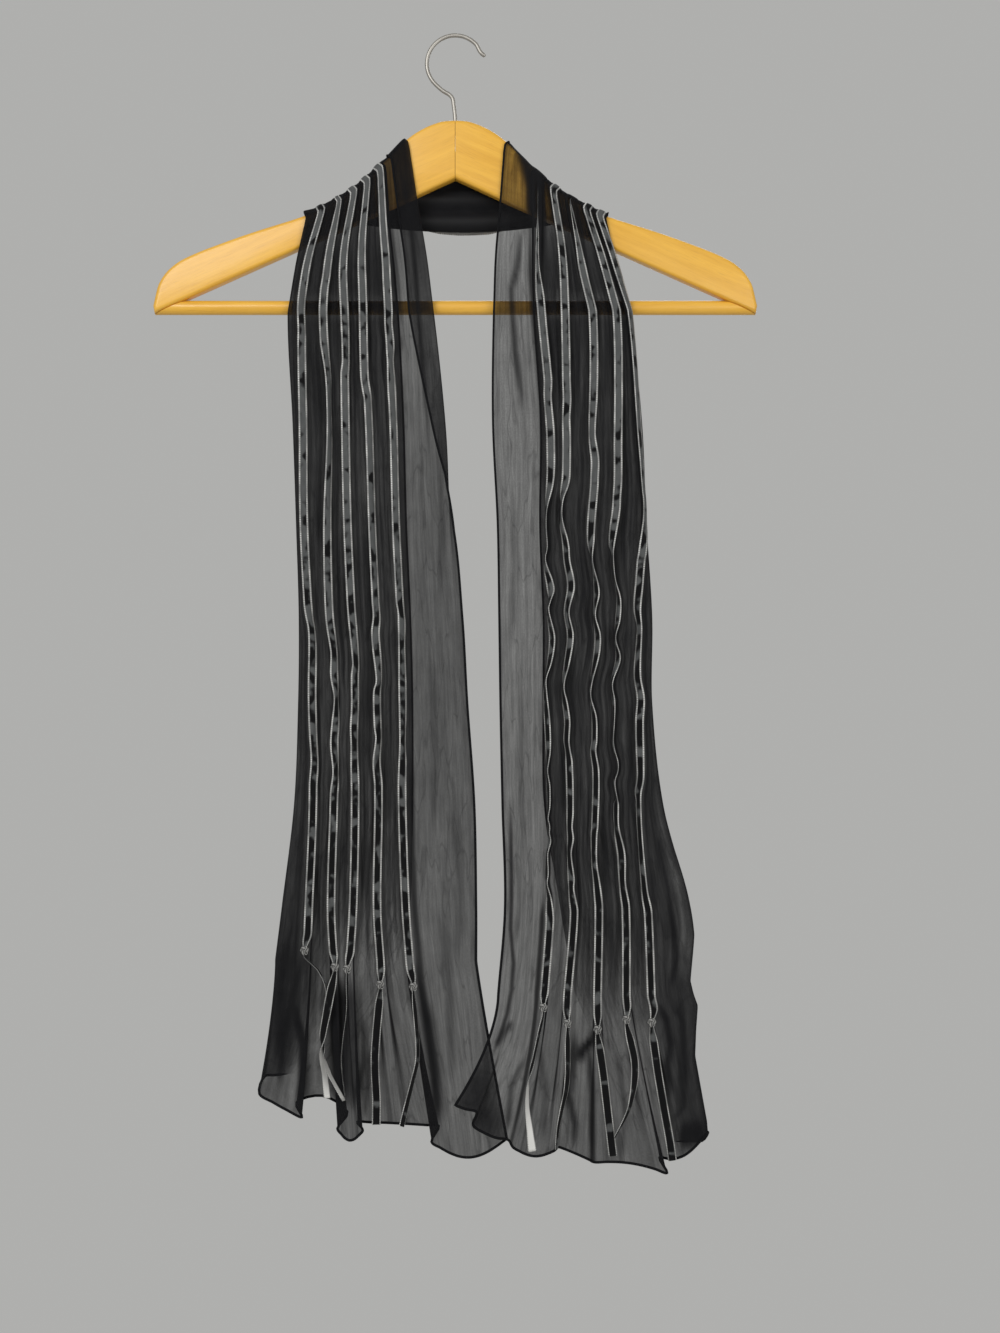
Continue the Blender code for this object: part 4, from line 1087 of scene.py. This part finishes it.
def add_knot(panel, number, looks):
    """An overhand knot drawn tight, along the curve of a trefoil."""
    node = f"knot_{panel.name}_{number + 1}"
    t = round_angles(KNOT_STEPS)
    deep = -KNOT_DEEP * np.sin(3 * t)
    line = np.stack([np.sin(t) + 2 * np.sin(2 * t), deep, np.cos(t) - 2 * np.cos(2 * t)], axis=1)
    line = line * KNOT_SIZE
    along = unit(np.roll(line, -1, axis=0) - np.roll(line, 1, axis=0))
    across = unit(np.cross(along, unit(line * KNOT_LEAN)))
    normal = unit(np.cross(across, along))
    angles = round_angles(KNOT_AROUND)
    rings = oval_rings(across, normal, angles, KNOT_WIDE, KNOT_THICK)
    knot = tube(
        f"knotted_{panel.name}_{number + 1}",
        box_middle(node) + line[:, None] + rings,
        looks,
        [knot_look(angle + math.pi / KNOT_AROUND) for angle in angles],
        closed=True,
        along=np.repeat(np.arange(KNOT_STEPS) * KNOT_STEP, KNOT_AROUND),
        across=np.tile(np.cos(angles) * KNOT_ACROSS, KNOT_STEPS),
        pressed=np.full(KNOT_STEPS * KNOT_AROUND, KNOT_PRESSED),
    )
    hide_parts(node)
    return knot


def knot_look(angle):
    """A knot's ribbon shows its picots at the edges, satin outside and pile elsewhere."""
    if abs(math.cos(angle)) > KNOT_EDGE:
        return PICOT_LOOK
    return SATIN_LOOK if math.sin(angle) > KNOT_EDGE else PILE_LOOK


# Points of a flat solid that lie this close in height are on one level
LEVEL_APART = 1.0

# A tail: its width, how much its edges narrow, and how it widens below its knot
TAIL_WIDTH = 6.2
TAIL_PICOT = 0.62
TAIL_TOP = 1.0
TAIL_STEPS = 8
TAIL_NARROW = 0.6
TAIL_WIDENS = 16.0

# Between which drops a tail turns over to its satin side, and how the satin gets lighter below
NEVER = 10000.0
TURNED_OVER = {
    ("right", "a"): (746.0, 772.0),
    ("left", "d"): (728.0, 752.0),
    ("left", "e"): (738.0, 752.0),
}
LIGHTER_FROM = 10
LIGHTER_OVER = 45.0

# How far outward and forward a tail strays at a drop, and the share of its width that shows
TAIL_MOVES = {
    ("left", "e"): (
        (676, 0.0, 0.0), (684, -5.0, 0.0), (696, -9.0, -1.5), (705, -11.0, -3.0), (730, -10.5, -3.0),
        (748, -10.5, -3.0), (762, -15.3, -1.5), (780, -25.7, 0.0),
    ),
    ("left", "d"): ((676, 0.0, 0.0), (688, 0.0, 2.0), (700, 0.0, 3.4), (752, 0.0, 3.4), (770, 0.0, 1.5)),
    ("right", "d"): ((785, 0.0, 0.0), (806, -3.5, 0.0)),
}
TAIL_SHARES = {
    ("left", "a"): ((697, 0.8), (740, 0.75), (799, 1.0)),
    ("left", "c"): ((683, 0.8), (700, 0.5), (712, 0.16), (780, 0.1)),
    ("left", "d"): ((712, 1.0), (732, 0.8), (745, 0.55), (760, 0.6), (778, 0.85)),
    ("left", "e"): ((671, 0.4), (700, 0.3), (750, 0.3), (760, 0.65), (780, 0.7)),
    ("right", "a"): ((712, 0.6), (750, 0.42), (765, 0.36), (816, 1.0)),
    ("right", "b"): ((724, 0.9), (770, 0.8), (815, 0.5)),
    ("right", "d"): ((721, 1.0), (765, 1.0), (800, 0.5)),
}

# A tail that goes on behind its neighbour, past the end of its solid, and in how many parts
TAIL_LONGER = {("left", "e"): 42.0}
LONGER_PARTS = 2


def node_line(node):
    """The middle of a flat CAD solid at each level, and the direction across it, top first."""
    points = np.array([v.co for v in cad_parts[node].data.vertices]) / MM
    points = points[np.argsort(-points[:, 2])]
    middles, sides = [], []
    start = 0
    for i in range(1, len(points) + 1):
        if i < len(points) and points[start, 2] - points[i, 2] <= LEVEL_APART:
            continue
        corners = np.unique(points[start:i].round(3), axis=0)
        start = i
        middle = corners.mean(axis=0)
        side = np.linalg.svd((corners - middle)[:, :2])[2][0]
        middles.append(middle)
        sides.append(np.array([*side, 0.0]) * (1 if side[0] > 0 else -1))
    return np.array(middles), np.array(sides)


def add_tail(panel, number, looks):
    """A ribbon's end, hanging from its knot."""
    node = f"tail_{panel.name}_{number + 1}"
    middles, sides = node_line(node)
    knot = box_middle(f"knot_{panel.name}_{number + 1}")
    key = (panel.name, RIBBON_NAMES[number])
    middles = np.concatenate([knot[None] - (0, 0, TAIL_TOP), middles])
    sides = np.concatenate([sides[:1], sides])
    if key in TAIL_LONGER:
        for _ in range(LONGER_PARTS):
            middles = np.concatenate([middles, middles[-1:] - (0, 0, TAIL_LONGER[key] / LONGER_PARTS)])
            sides = np.concatenate([sides, sides[-1:]])
    steps = [TAIL_STEPS] * (len(middles) - 1)
    middle = refined(middles[None], steps)[0]
    across = unit(refined(sides[None], steps)[0])
    down = unit(np.gradient(middle, axis=0))
    across = unit(across - down * (across * down).sum(axis=1, keepdims=True))
    normal = unit(np.cross(down, across))
    drops = -middle[:, 2]
    if key in TAIL_MOVES:
        levels, outs, forwards = zip(*TAIL_MOVES[key])
        middle = middle + np.outer(np.interp(drops, levels, outs), (panel.side, 0.0, 0.0))
        middle = middle - np.outer(np.interp(drops, levels, forwards), (0.0, 1.0, 0.0))
    start, end = TURNED_OVER.get(key, (NEVER, NEVER + 1))
    over = eased((drops - start) / (end - start))[:, None] * math.pi
    turned = across * np.cos(over) + normal * np.sin(over)
    normal = normal * np.cos(over) - across * np.sin(over)
    fallen = knot[2] - middle[:, 2]
    width = TAIL_WIDTH * (1 - TAIL_NARROW * (1 - eased(fallen / TAIL_WIDENS)))
    if key in TAIL_SHARES:
        width = width * keyed(drops, TAIL_SHARES[key])
    light_satin = np.clip((drops - start - LIGHTER_FROM) / LIGHTER_OVER, 0.0, 1.0)
    name = f"end_{panel.name}_{number + 1}"
    first = ribbon_start(panel.side, number)
    tail = add_ribbon(name, middle, turned, normal, width, light_satin, looks, first, picot=TAIL_PICOT)
    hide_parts(node)
    return tail


# The hem's width, on the front's foot and on the other edges, and the share of it that is left where
# it runs out under a fold
HEM = 2.0
HEM_THIN = 1.5
HEM_END = 0.15

# How far the hem follows the back layer's foot and its tucked edge, and over how many points each
# runs out
BACK_HEM = 0.42
BACK_HEM_END = 8
TUCK_HEM = 0.72
TUCK_HEM_END = 12


def run_out(radius, points):
    """The radius of a hem that gets thinner over its last points."""
    radius[-points:] *= np.linspace(1.0, HEM_END, points)
    return radius


def add_hem(name, grid, look, bottom=True):
    """The rolled hem round a front panel's edges, or along the two edges of the neck."""
    if not bottom:
        upper = round_tube(f"{name}_upper", grid[:, 0], HEM_THIN / 2, look)
        return [upper, round_tube(f"{name}_lower", grid[:, -1], HEM_THIN / 2, look)]
    back = outer_column()[1]
    last = back + int((grid.shape[1] - 1 - back) * BACK_HEM)
    side, foot = grid[:, 0], grid[-1, 1 : last + 1]
    radius = np.full(len(side) + len(foot), HEM / 2)
    radius[: len(side)] = np.linspace(HEM_THIN, HEM, len(side)) / 2
    hem = round_tube(name, np.concatenate([side, foot]), run_out(radius, BACK_HEM_END), look)
    tuck = grid[: int(len(grid) * TUCK_HEM), -1]
    thin = run_out(np.full(len(tuck), HEM_THIN / 2), TUCK_HEM_END)
    return [hem, round_tube(f"{name}_tucked", tuck, thin, look)]


def add_node(tree, kind, inputs=None, **settings):
    """A new node, with each input linked to a socket or set to a value."""
    made = tree.nodes.new(kind)
    for key, value in settings.items():
        setattr(made, key, value)
    for key, value in (inputs or {}).items():
        if isinstance(value, bpy.types.NodeSocket):
            tree.links.new(value, made.inputs[key])
        else:
            made.inputs[key].default_value = value
    return made


def new_look(name, **inputs):
    """A material with a Principled shader, whose inputs are set from names with _ for spaces."""
    look = bpy.data.materials.new(name)
    look.use_nodes = True
    tree = look.node_tree
    shader = tree.nodes["Principled BSDF"]
    for key, value in inputs.items():
        shader.inputs[key.replace("_", " ")].default_value = value
    return look, tree, shader


def value_of(tree, name):
    """What one of the mesh's own attributes says."""
    return add_node(tree, "ShaderNodeAttribute", attribute_name=name).outputs["Fac"]


def math_node(tree, operation, first, second=0.0):
    return add_node(tree, "ShaderNodeMath", {0: first, 1: second}, operation=operation).outputs[0]


def noise(tree, vector, detail=3.0, roughness=0.55, scale=1.0):
    inputs = {"Vector": vector, "Scale": scale, "Detail": detail, "Roughness": roughness}
    return add_node(tree, "ShaderNodeTexNoise", inputs).outputs["Fac"]


def cloth_noise(tree, along_scale, across_scale, third=0.0, **settings):
    """Noise over the places along and across a cloth, times a scale for each."""
    along = math_node(tree, "MULTIPLY", value_of(tree, "along"), along_scale)
    across = math_node(tree, "MULTIPLY", value_of(tree, "across"), across_scale)
    place = add_node(tree, "ShaderNodeCombineXYZ", {0: along, 1: across, 2: third}).outputs[0]
    return noise(tree, place, **settings)


def object_place(tree):
    return add_node(tree, "ShaderNodeTexCoord").outputs["Object"]


def mapped(tree, place, **settings):
    """A place turned or scaled."""
    return add_node(tree, "ShaderNodeMapping", {"Vector": place, **settings}).outputs[0]


def spread(tree, value, low, high, to_low, to_high):
    inputs = {"Value": value, "From Min": low, "From Max": high, "To Min": to_low, "To Max": to_high}
    return add_node(tree, "ShaderNodeMapRange", inputs).outputs[0]


# The sockets of a Mix node that hold its two colours, and the one that gives their blend
MIX_COLOURS = (6, 7)
MIX_BLEND = 2


def blend_colour(tree, share, first, second):
    """A colour between two others, each a socket or a colour without its alpha."""
    made = add_node(tree, "ShaderNodeMix", {0: share}, data_type="RGBA")
    for slot, value in zip(MIX_COLOURS, (first, second)):
        if isinstance(value, bpy.types.NodeSocket):
            tree.links.new(value, made.inputs[slot])
        else:
            made.inputs[slot].default_value = (*value, 1.0)
    return made.outputs[MIX_BLEND]


def paint(tree, shader, share, first, second):
    """Gives a shader a colour between two others."""
    tree.links.new(blend_colour(tree, share, first, second), shader.inputs["Base Color"])


def bump(tree, shader, height, distance):
    inputs = {"Height": height, "Distance": distance * MM, "Strength": 1.0}
    made = add_node(tree, "ShaderNodeBump", inputs)
    tree.links.new(made.outputs[0], shader.inputs["Normal"])


# The colours that each surface varies between
CHIFFON_COLOURS = (0.004, 0.004, 0.005), (0.013, 0.013, 0.014)
# A painted highlight on the neck's forward folds
CHIFFON_PAINTED_HIGHLIGHT = (0.021, 0.021, 0.022)
EDGE_COLOURS = (0.003, 0.003, 0.004), (0.011, 0.011, 0.012)
PILE_COLOUR = (0.0035, 0.0035, 0.004)
# The grey of pressed pile: a painted sheen
PRESSED_PILE_SHEEN = (0.060, 0.063, 0.064), (0.128, 0.133, 0.133)
PRESSED_DARK = (0.05, 0.05, 0.049)
PICOT_COLOURS = (0.36, 0.36, 0.35), (0.96, 0.95, 0.91)
PICOT_HOLLOW = (0.21, 0.21, 0.205)
SATIN_COLOURS = (0.62, 0.615, 0.59), (0.80, 0.79, 0.76)
SATIN_DARKER = (0.16, 0.16, 0.155), (0.34, 0.335, 0.32)
WOOD_COLOURS = (0.73, 0.375, 0.03), (0.85, 0.47, 0.05)
WOOD_PORES = (0.42, 0.18, 0.03)
WOOD_CLOUDS = (0.83, 0.50, 0.10)
STEEL_COLOURS = (0.32, 0.30, 0.27), (0.50, 0.48, 0.44)
FLOOR_COLOURS = (0.60, 0.60, 0.585), (0.66, 0.66, 0.645)

# How fine the wood's grain, pores and clouds are along and across it, how its arms slope in degrees,
# how fine the smudges on the steel are, and how far apart the picots are in millimetres
GRAIN_SCALE = (14.0, 260.0, 260.0)
PORE_SCALE = (90.0, 2200.0, 2200.0)
CLOUD_SCALE = (22.0, 22.0, 22.0)
GRAIN_SLOPE = 24
SMUDGE_SCALE = (180.0, 180.0, 60.0)
PICOT_PITCH = 1.3


def chiffon():
    """Sheer, crinkled cloth. Its cover comes with the mesh, and long streaks gather it further."""
    look, tree, shader = new_look("chiffon", Roughness=0.85, Specular_IOR_Level=0.08, Sheen_Weight=0.02)
    crinkle = cloth_noise(tree, 0.06, 0.12, detail=4.0, roughness=0.6)
    pleated = cloth_noise(tree, 0.028, 0.5, 2.0, detail=3.0, roughness=0.6)
    ridge = cloth_noise(tree, 0.012, 0.075, 5.0, detail=2.0, roughness=0.45)
    ridge = math_node(tree, "ABSOLUTE", math_node(tree, "SUBTRACT", ridge, 0.5))
    streak = cloth_noise(tree, 0.011, 0.42, 4.0, detail=2.0, roughness=0.5)
    fine = cloth_noise(tree, 0.9, 1.3, 7.0, detail=2.0)
    through = math_node(tree, "SUBTRACT", 1.0, value_of(tree, "cover"))
    varied = spread(tree, crinkle, 0.3, 0.7, 0.9, 1.1)
    drawn = spread(tree, pleated, 0.32, 0.68, 0.78, 1.22)
    lined = spread(tree, ridge, 0.0, 0.014, 0.7, 1.0)
    grain = spread(tree, fine, 0.3, 0.7, 0.86, 1.14)
    strength = spread(tree, value_of(tree, "gather"), 0.0, 1.0, 0.5, 4.0)
    gathered = math_node(tree, "MULTIPLY", math_node(tree, "SUBTRACT", streak, 0.5), strength)
    gathered = math_node(tree, "MAXIMUM", math_node(tree, "ADD", gathered, 1.0), 0.2)
    for factor in (varied, drawn, lined, grain, gathered):
        through = math_node(tree, "MULTIPLY", through, factor)
    tree.links.new(math_node(tree, "SUBTRACT", 1.0, through), shader.inputs["Alpha"])
    colour = blend_colour(tree, crinkle, *CHIFFON_COLOURS)
    # The lit attribute paints a highlight on the neck's forward folds
    paint(tree, shader, value_of(tree, "lit"), colour, CHIFFON_PAINTED_HIGHLIGHT)
    height = math_node(tree, "ADD", crinkle, math_node(tree, "MULTIPLY", fine, 0.3))
    bump(tree, shader, height, 0.6)
    return look


def rolled_edge():
    """The hem's rolled cloth, finely stitched."""
    look, tree, shader = new_look("rolled_edge", Roughness=0.9, Specular_IOR_Level=0.1)
    stitches = cloth_noise(tree, 0.8, 0.4, detail=2.0)
    paint(tree, shader, stitches, *EDGE_COLOURS)
    bump(tree, shader, stitches, 0.3)
    return look


def velvet():
    """Black pile with grey patches where it is pressed flat, the grey a painted sheen."""
    look, tree, shader = new_look("velvet", Roughness=0.9, Specular_IOR_Level=0.15, Sheen_Weight=0.06)
    patches = cloth_noise(tree, 0.07, 0.06, 3.0, detail=2.0, roughness=0.5)
    cloudy = cloth_noise(tree, 0.2, 0.35, 9.0, detail=2.0)
    pile = cloth_noise(tree, 1.6, 2.0, 5.0, detail=2.0)
    level = math_node(tree, "ADD", patches, math_node(tree, "MULTIPLY", value_of(tree, "pressed"), 0.24))
    level = math_node(tree, "ADD", level, math_node(tree, "MULTIPLY", cloudy, 0.12))
    pressed = spread(tree, level, 0.635, 0.695, 0.0, 1.0)
    # Pressed pile's grey, a painted sheen
    grey = blend_colour(tree, cloudy, *PRESSED_PILE_SHEEN)
    grey = blend_colour(tree, spread(tree, pile, 0.3, 0.7, 0.0, 0.5), grey, PRESSED_DARK)
    paint(tree, shader, pressed, PILE_COLOUR, grey)
    bump(tree, shader, pile, 0.25)
    return look


def picot():
    """Fine light loops along a ribbon's edges."""
    look, tree, shader = new_look("picot", Roughness=0.6, Specular_IOR_Level=0.3)
    turns = math_node(tree, "MULTIPLY", value_of(tree, "along"), 2 * math.pi / PICOT_PITCH)
    loops = spread(tree, math_node(tree, "SINE", turns), -0.5, 0.5, 0.0, 1.0)
    wear = cloth_noise(tree, 0.08, 0.1, 2.0, detail=2.0)
    light = blend_colour(tree, spread(tree, wear, 0.36, 0.62, 0.0, 1.0), *PICOT_COLOURS)
    paint(tree, shader, loops, PICOT_HOLLOW, light)
    bump(tree, shader, loops, 0.25)
    return look


def satin():
    """A ribbon's ribbed reverse, a darker grey where its pressed share is low."""
    look, tree, shader = new_look("satin", Roughness=0.32)
    ribs = cloth_noise(tree, 2.2, 0.15, detail=1.0)
    soft = cloth_noise(tree, 0.05, 0.1, 4.0, detail=2.0)
    light_satin = blend_colour(tree, soft, *SATIN_COLOURS)
    darker_satin = blend_colour(tree, soft, *SATIN_DARKER)
    paint(tree, shader, value_of(tree, "pressed"), darker_satin, light_satin)
    bump(tree, shader, ribs, 0.12)
    return look


def wood(name, slope):
    """Varnished wood whose grain runs along a slope."""
    look, tree, shader = new_look(name, Roughness=0.4, Coat_Weight=0.3, Coat_Roughness=0.2)
    place = object_place(tree)
    turned = mapped(tree, place, Rotation=(0.0, slope, 0.0))
    grain = noise(tree, mapped(tree, turned, Scale=GRAIN_SCALE), detail=5.0, roughness=0.6)
    pores = noise(tree, mapped(tree, turned, Scale=PORE_SCALE), detail=2.0)
    cloudy = noise(tree, mapped(tree, place, Scale=CLOUD_SCALE))
    base = blend_colour(tree, spread(tree, grain, 0.3, 0.7, 0.0, 1.0), *WOOD_COLOURS)
    base = blend_colour(tree, spread(tree, pores, 0.56, 0.72, 0.0, 0.3), base, WOOD_PORES)
    paint(tree, shader, spread(tree, cloudy, 0.35, 0.75, 0.0, 0.25), base, WOOD_CLOUDS)
    bump(tree, shader, pores, 0.08)
    return look


def steel():
    """Bright wire, a little smudged."""
    look, tree, shader = new_look("steel", Metallic=1.0)
    smudge = noise(tree, mapped(tree, object_place(tree), Scale=SMUDGE_SCALE))
    paint(tree, shader, smudge, *STEEL_COLOURS)
    tree.links.new(spread(tree, smudge, 0.3, 0.7, 0.42, 0.5), shader.inputs["Roughness"])
    return look


def wood_outline():
    """The whole hanger's outline, as points (across, up): along its top and back underneath."""
    keys = [row.outward for row in ARM_TOP]
    outs = [lerp(a, b, share) for a, b in zip(keys, keys[1:]) for share in OUTLINE_SHARES] + [keys[-1]]
    half = [(outward, -arm_top_drop(outward)) for outward in outs]
    half += [(row.outward, -row.drop) for row in ARM_UNDERSIDE]
    return half + [(-across, up) for across, up in half[-2:0:-1]]


# Caps are welded over this distance, edges sharper than these angles stay sharp, and the bar's and
# the outline's stretches have so many steps
WELD = 0.01
WOOD_SHARP = 40
BAR_SHARP = 50
BAR_STEPS = 41
BEVEL_STEPS = 4
OUTLINE_SHARES = (0.0, 0.25, 0.5, 0.75)


def evaluated_mesh(thing):
    """A new mesh of an object as its curve settings and modifiers leave it."""
    evaluated = thing.evaluated_get(bpy.context.evaluated_depsgraph_get())
    return bpy.data.meshes.new_from_object(evaluated)


def curve_mesh(name, curve):
    """A closed mesh from a curve, its caps welded on."""
    guide = placed(name, curve)
    mesh = evaluated_mesh(guide)
    bpy.data.objects.remove(guide)
    shape = bmesh.new()
    shape.from_mesh(mesh)
    bmesh.ops.remove_doubles(shape, verts=shape.verts, dist=WELD * MM)
    bmesh.ops.recalc_face_normals(shape, faces=shape.faces)
    shape.to_mesh(mesh)
    shape.free()
    return mesh


def wood_mesh():
    """The hanger's wood in one piece, flat in the XY plane, with rounded edges."""
    curve = bpy.data.curves.new("wood", "CURVE")
    curve.dimensions = "2D"
    curve.fill_mode = "BOTH"
    curve.extrude = (WOOD_FACE - WOOD_EDGE) * MM
    curve.bevel_depth = WOOD_EDGE * MM
    curve.bevel_resolution = BEVEL_STEPS
    curve.offset = -WOOD_EDGE * MM
    outline = wood_outline()
    spline = curve.splines.new("POLY")
    spline.points.add(len(outline) - 1)
    for point, (across, up) in zip(spline.points, outline):
        point.co = (across * MM, up * MM, 0.0, 1.0)
    spline.use_cyclic_u = True
    return curve_mesh("wood", curve)


def add_arm(side, name, look, hole):
    """One arm: the half of the wood on its side of the seam, with half of the hook's hole."""
    thing = placed("arm_guide", wood_mesh())
    thing.rotation_euler = (math.radians(90), 0.0, 0.0)
    size = 2 * ARM_TOP[-1].outward
    middle = side * (SEAM + size) / 2
    bpy.ops.mesh.primitive_cube_add(size=size * MM, location=(middle * MM, 0.0, -size / 2 * MM))
    half = bpy.context.object
    for cutter, operation in ((half, "INTERSECT"), (hole, "DIFFERENCE")):
        cut = thing.modifiers.new(cutter.name, "BOOLEAN")
        cut.object = cutter
        cut.operation = operation
    bpy.context.view_layer.update()
    made = evaluated_mesh(thing)
    made.transform(thing.matrix_world)
    made.materials.clear()
    made.materials.append(look)
    made.shade_smooth()
    made.set_sharp_from_angle(angle=math.radians(WOOD_SHARP))
    for guide in (thing, half):
        bpy.data.objects.remove(guide)
    return placed(name, made)


def underside_at(drop):
    """The distance outward of the arm's underside at a drop."""
    tip, neck = ARM_UNDERSIDE[:2]
    return lerp(neck.outward, tip.outward, (drop - neck.drop) / (tip.drop - neck.drop))


def add_bar(look):
    """The round trouser bar, its ends cut on the slant where they meet the arms' undersides."""
    middle = BAR_TOP + BAR_THICK / 2
    tip, neck = ARM_UNDERSIDE[:2]
    slope = (tip.drop - neck.drop) / (tip.outward - neck.outward)
    slant = math.hypot(1.0, 1.0 / slope)
    rings = []
    for share in np.linspace(-1.0, 1.0, BAR_STEPS):
        ring = []
        for angle in round_angles(BAR_SIDES):
            up = BAR_THICK / 2 * math.sin(angle)
            reach = underside_at(middle - up) - GAP * slant
            ring.append((share * reach, BAR_THICK / 2 * math.cos(angle), up - middle))
        rings.append(ring)
    bar = tube("round_bar", np.array(rings), [look])
    bar.data.set_sharp_from_angle(angle=math.radians(BAR_SHARP))
    return bar


# The hook's line before its crown and after it, as points (across, up), and its rounded tip: how
# far out each ring lies and its radius, as shares of the wire's radius
HOOK_TIP = ((22.2, -14.1), (18.6, -10.9))
HOOK_BEND = ((-9.2, -39.4), (-4.4, -42.3), (-2.0, -45.2), (-1.2, -50.0), (-0.4, -56.5), (0.0, -62.0))
TIP_RINGS = ((0.98, 0.2), (0.8, 0.6), (0.5, 0.87))
TIP_CLEAR = 0.6
HOOK_STEPS = 6
HOOK_AROUND = 24
HOLE_SIDES = 32


def hook_line():
    """The hook's centreline: the tip, round the crown, the bend, and down into the wood."""
    middle = WIRE / 2 - CROWN_RADIUS
    points = list(HOOK_TIP)
    for degrees in range(CROWN_FROM, CROWN_TO + 1, CROWN_STEP):
        angle = math.radians(degrees)
        points.append((CROWN_RADIUS * math.cos(angle), middle + CROWN_RADIUS * math.sin(angle)))
    points += [*HOOK_BEND, (0.0, GAP - ARM_TOP[0].drop - SHANK_DEPTH)]
    return np.array([(across, 0.0, up) for across, up in points])


def add_hook(look):
    """The wire hook, with a rounded tip."""
    coarse = hook_line()
    line = refined(coarse[None], [HOOK_STEPS] * (len(coarse) - 1))[0]
    tip = WIRE / 2
    start = unit(line[0] - line[1])
    cap = np.array([line[0] + start * tip * out for out, _ in TIP_RINGS])
    cap -= start * tip
    line = np.concatenate([cap, line[lengths_along(line, 0) > tip * TIP_CLEAR]])
    radius = np.full(len(line), tip)
    radius[: len(TIP_RINGS)] = [tip * share for _, share in TIP_RINGS]
    hook = round_tube("wire_hook", line, radius, look, around=HOOK_AROUND)
    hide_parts("hook")
    return hook


def add_hanger():
    """The two arms, the bar and the hook."""
    place = (0.0, 0.0, -ARM_TOP[0].drop * MM)
    bpy.ops.mesh.primitive_cylinder_add(
        vertices=HOLE_SIDES, radius=SHANK_HOLE * MM, depth=2 * SHANK_DEPTH * MM, location=place
    )
    hole = bpy.context.object
    slope = math.radians(GRAIN_SLOPE)
    for side, name in ((-1, "left"), (1, "right")):
        arm = add_arm(side, f"wood_{name}", wood(f"wood_{name}", -side * slope), hole)
        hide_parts(f"hanger_arm_{name}")
        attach(arm, "root")
    bpy.data.objects.remove(hole)
    bar = add_bar(wood("wood_bar", 0.0))
    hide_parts("trouser_bar")
    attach(bar, "root")
    hook = add_hook(steel())
    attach(hook, "root")


# The camera's distance from the scarf, its frame at the scarf, and the sensor's width
CAMERA_FAR = 1250.0
FRAME_TALL = 977.0
FRAME_ACROSS = 33.0
FRAME_DROP = 464.7
SCARF_PLANE = 10.0
SENSOR = 36.0

# Lights, in metres and watts: name, place, size and power, all aimed at one place
AIM = (0.03, 0.0, -0.42)
LIGHTS = (
    ("key", (-0.75, -1.5, 0.45), 0.9, 15.0),
    ("fill", (0.95, -1.5, -0.2), 1.2, 9.0),
    ("rear", (0.3, 1.6, 0.5), 1.2, 9.0),
)
BACKGROUND = (0.43, 0.43, 0.42)
FLOOR_RADIUS = 700.0
FLOOR_DROP = 1300.0
FLOOR_SIDES = 96
CLEAR_BOUNCES = 32


def add_camera():
    """Straight on and level, its frame as high as FRAME_TALL at the scarf."""
    camera = bpy.data.cameras.new("camera")
    camera.sensor_width = SENSOR
    camera.lens = SENSOR * CAMERA_FAR / FRAME_TALL
    thing = placed("camera", camera)
    thing.location = (FRAME_ACROSS * MM, (-CAMERA_FAR - SCARF_PLANE) * MM, -FRAME_DROP * MM)
    thing.rotation_euler = (math.radians(90), 0.0, 0.0)
    bpy.context.scene.camera = thing


def add_light(name, place, size, power):
    light = bpy.data.lights.new(name, "AREA")
    light.shape = "DISK"
    light.size = size
    light.energy = power
    thing = placed(name, light)
    thing.location = place
    thing.rotation_euler = (Vector(AIM) - Vector(place)).to_track_quat("-Z", "Y").to_euler()


def add_surroundings():
    """A plain grey world, three lights and a round floor."""
    world = bpy.data.worlds.new("studio")
    bpy.context.scene.world = world
    world.use_nodes = True
    background = world.node_tree.nodes["Background"]
    background.inputs["Color"].default_value = (*BACKGROUND, 1.0)
    for settings in LIGHTS:
        add_light(*settings)
    shape = bmesh.new()
    bmesh.ops.create_circle(shape, cap_ends=True, segments=FLOOR_SIDES, radius=FLOOR_RADIUS * MM)
    bmesh.ops.translate(shape, verts=shape.verts, vec=(0.0, 0.0, -FLOOR_DROP * MM))
    mesh = bpy.data.meshes.new("floor")
    shape.to_mesh(mesh)
    shape.free()
    look, tree, shader = new_look("floor", Roughness=0.9)
    paint(tree, shader, noise(tree, object_place(tree), detail=3.0, scale=6.0), *FLOOR_COLOURS)
    mesh.materials.append(look)
    placed("floor", mesh)


def finish_sheet(cloth, others):
    """Attaches a sheet of cloth and the pieces that it carries to the root body."""
    for piece in (cloth, *others):
        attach(piece, "root")


def build():
    """The hanger, the two front panels, the neck and the surroundings."""
    sheer, edge = chiffon(), rolled_edge()
    looks = [velvet(), picot(), satin()]
    add_hanger()
    for panel, flat in ((LEFT, (0.28, 0.69)), (RIGHT, (0.28, 0.70))):
        grid, creased = panel_grid(panel)
        grid = in_place(grid, panel.side)
        cloth = add_cloth(f"chiffon_{panel.name}", grid, sheer, panel.side < 0, panel, creased)
        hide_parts(f"scarf_front_{panel.name}")
        others = add_hem(f"hem_{panel.name}", grid, edge)
        for number in range(len(RIBBON_NAMES)):
            others.append(front_ribbon(panel, grid, number, looks))
            others.append(add_knot(panel, number, looks))
            others.append(add_tail(panel, number, looks))
        finish_sheet(cloth, others)
    grid, lit = neck_grid()
    cloth = add_cloth("chiffon_neck", grid, sheer, False, lit=lit)
    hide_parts("scarf_neck")
    others = add_hem("hem_neck", grid, edge, bottom=False)
    for number in range(len(RIBBON_NAMES)):
        others.append(neck_ribbon(grid, number, looks))
    finish_sheet(cloth, others)
    add_surroundings()
    add_camera()
    bpy.context.scene.view_settings.view_transform = "Standard"
    bpy.context.scene.cycles.transparent_max_bounces = CLEAR_BOUNCES


build()
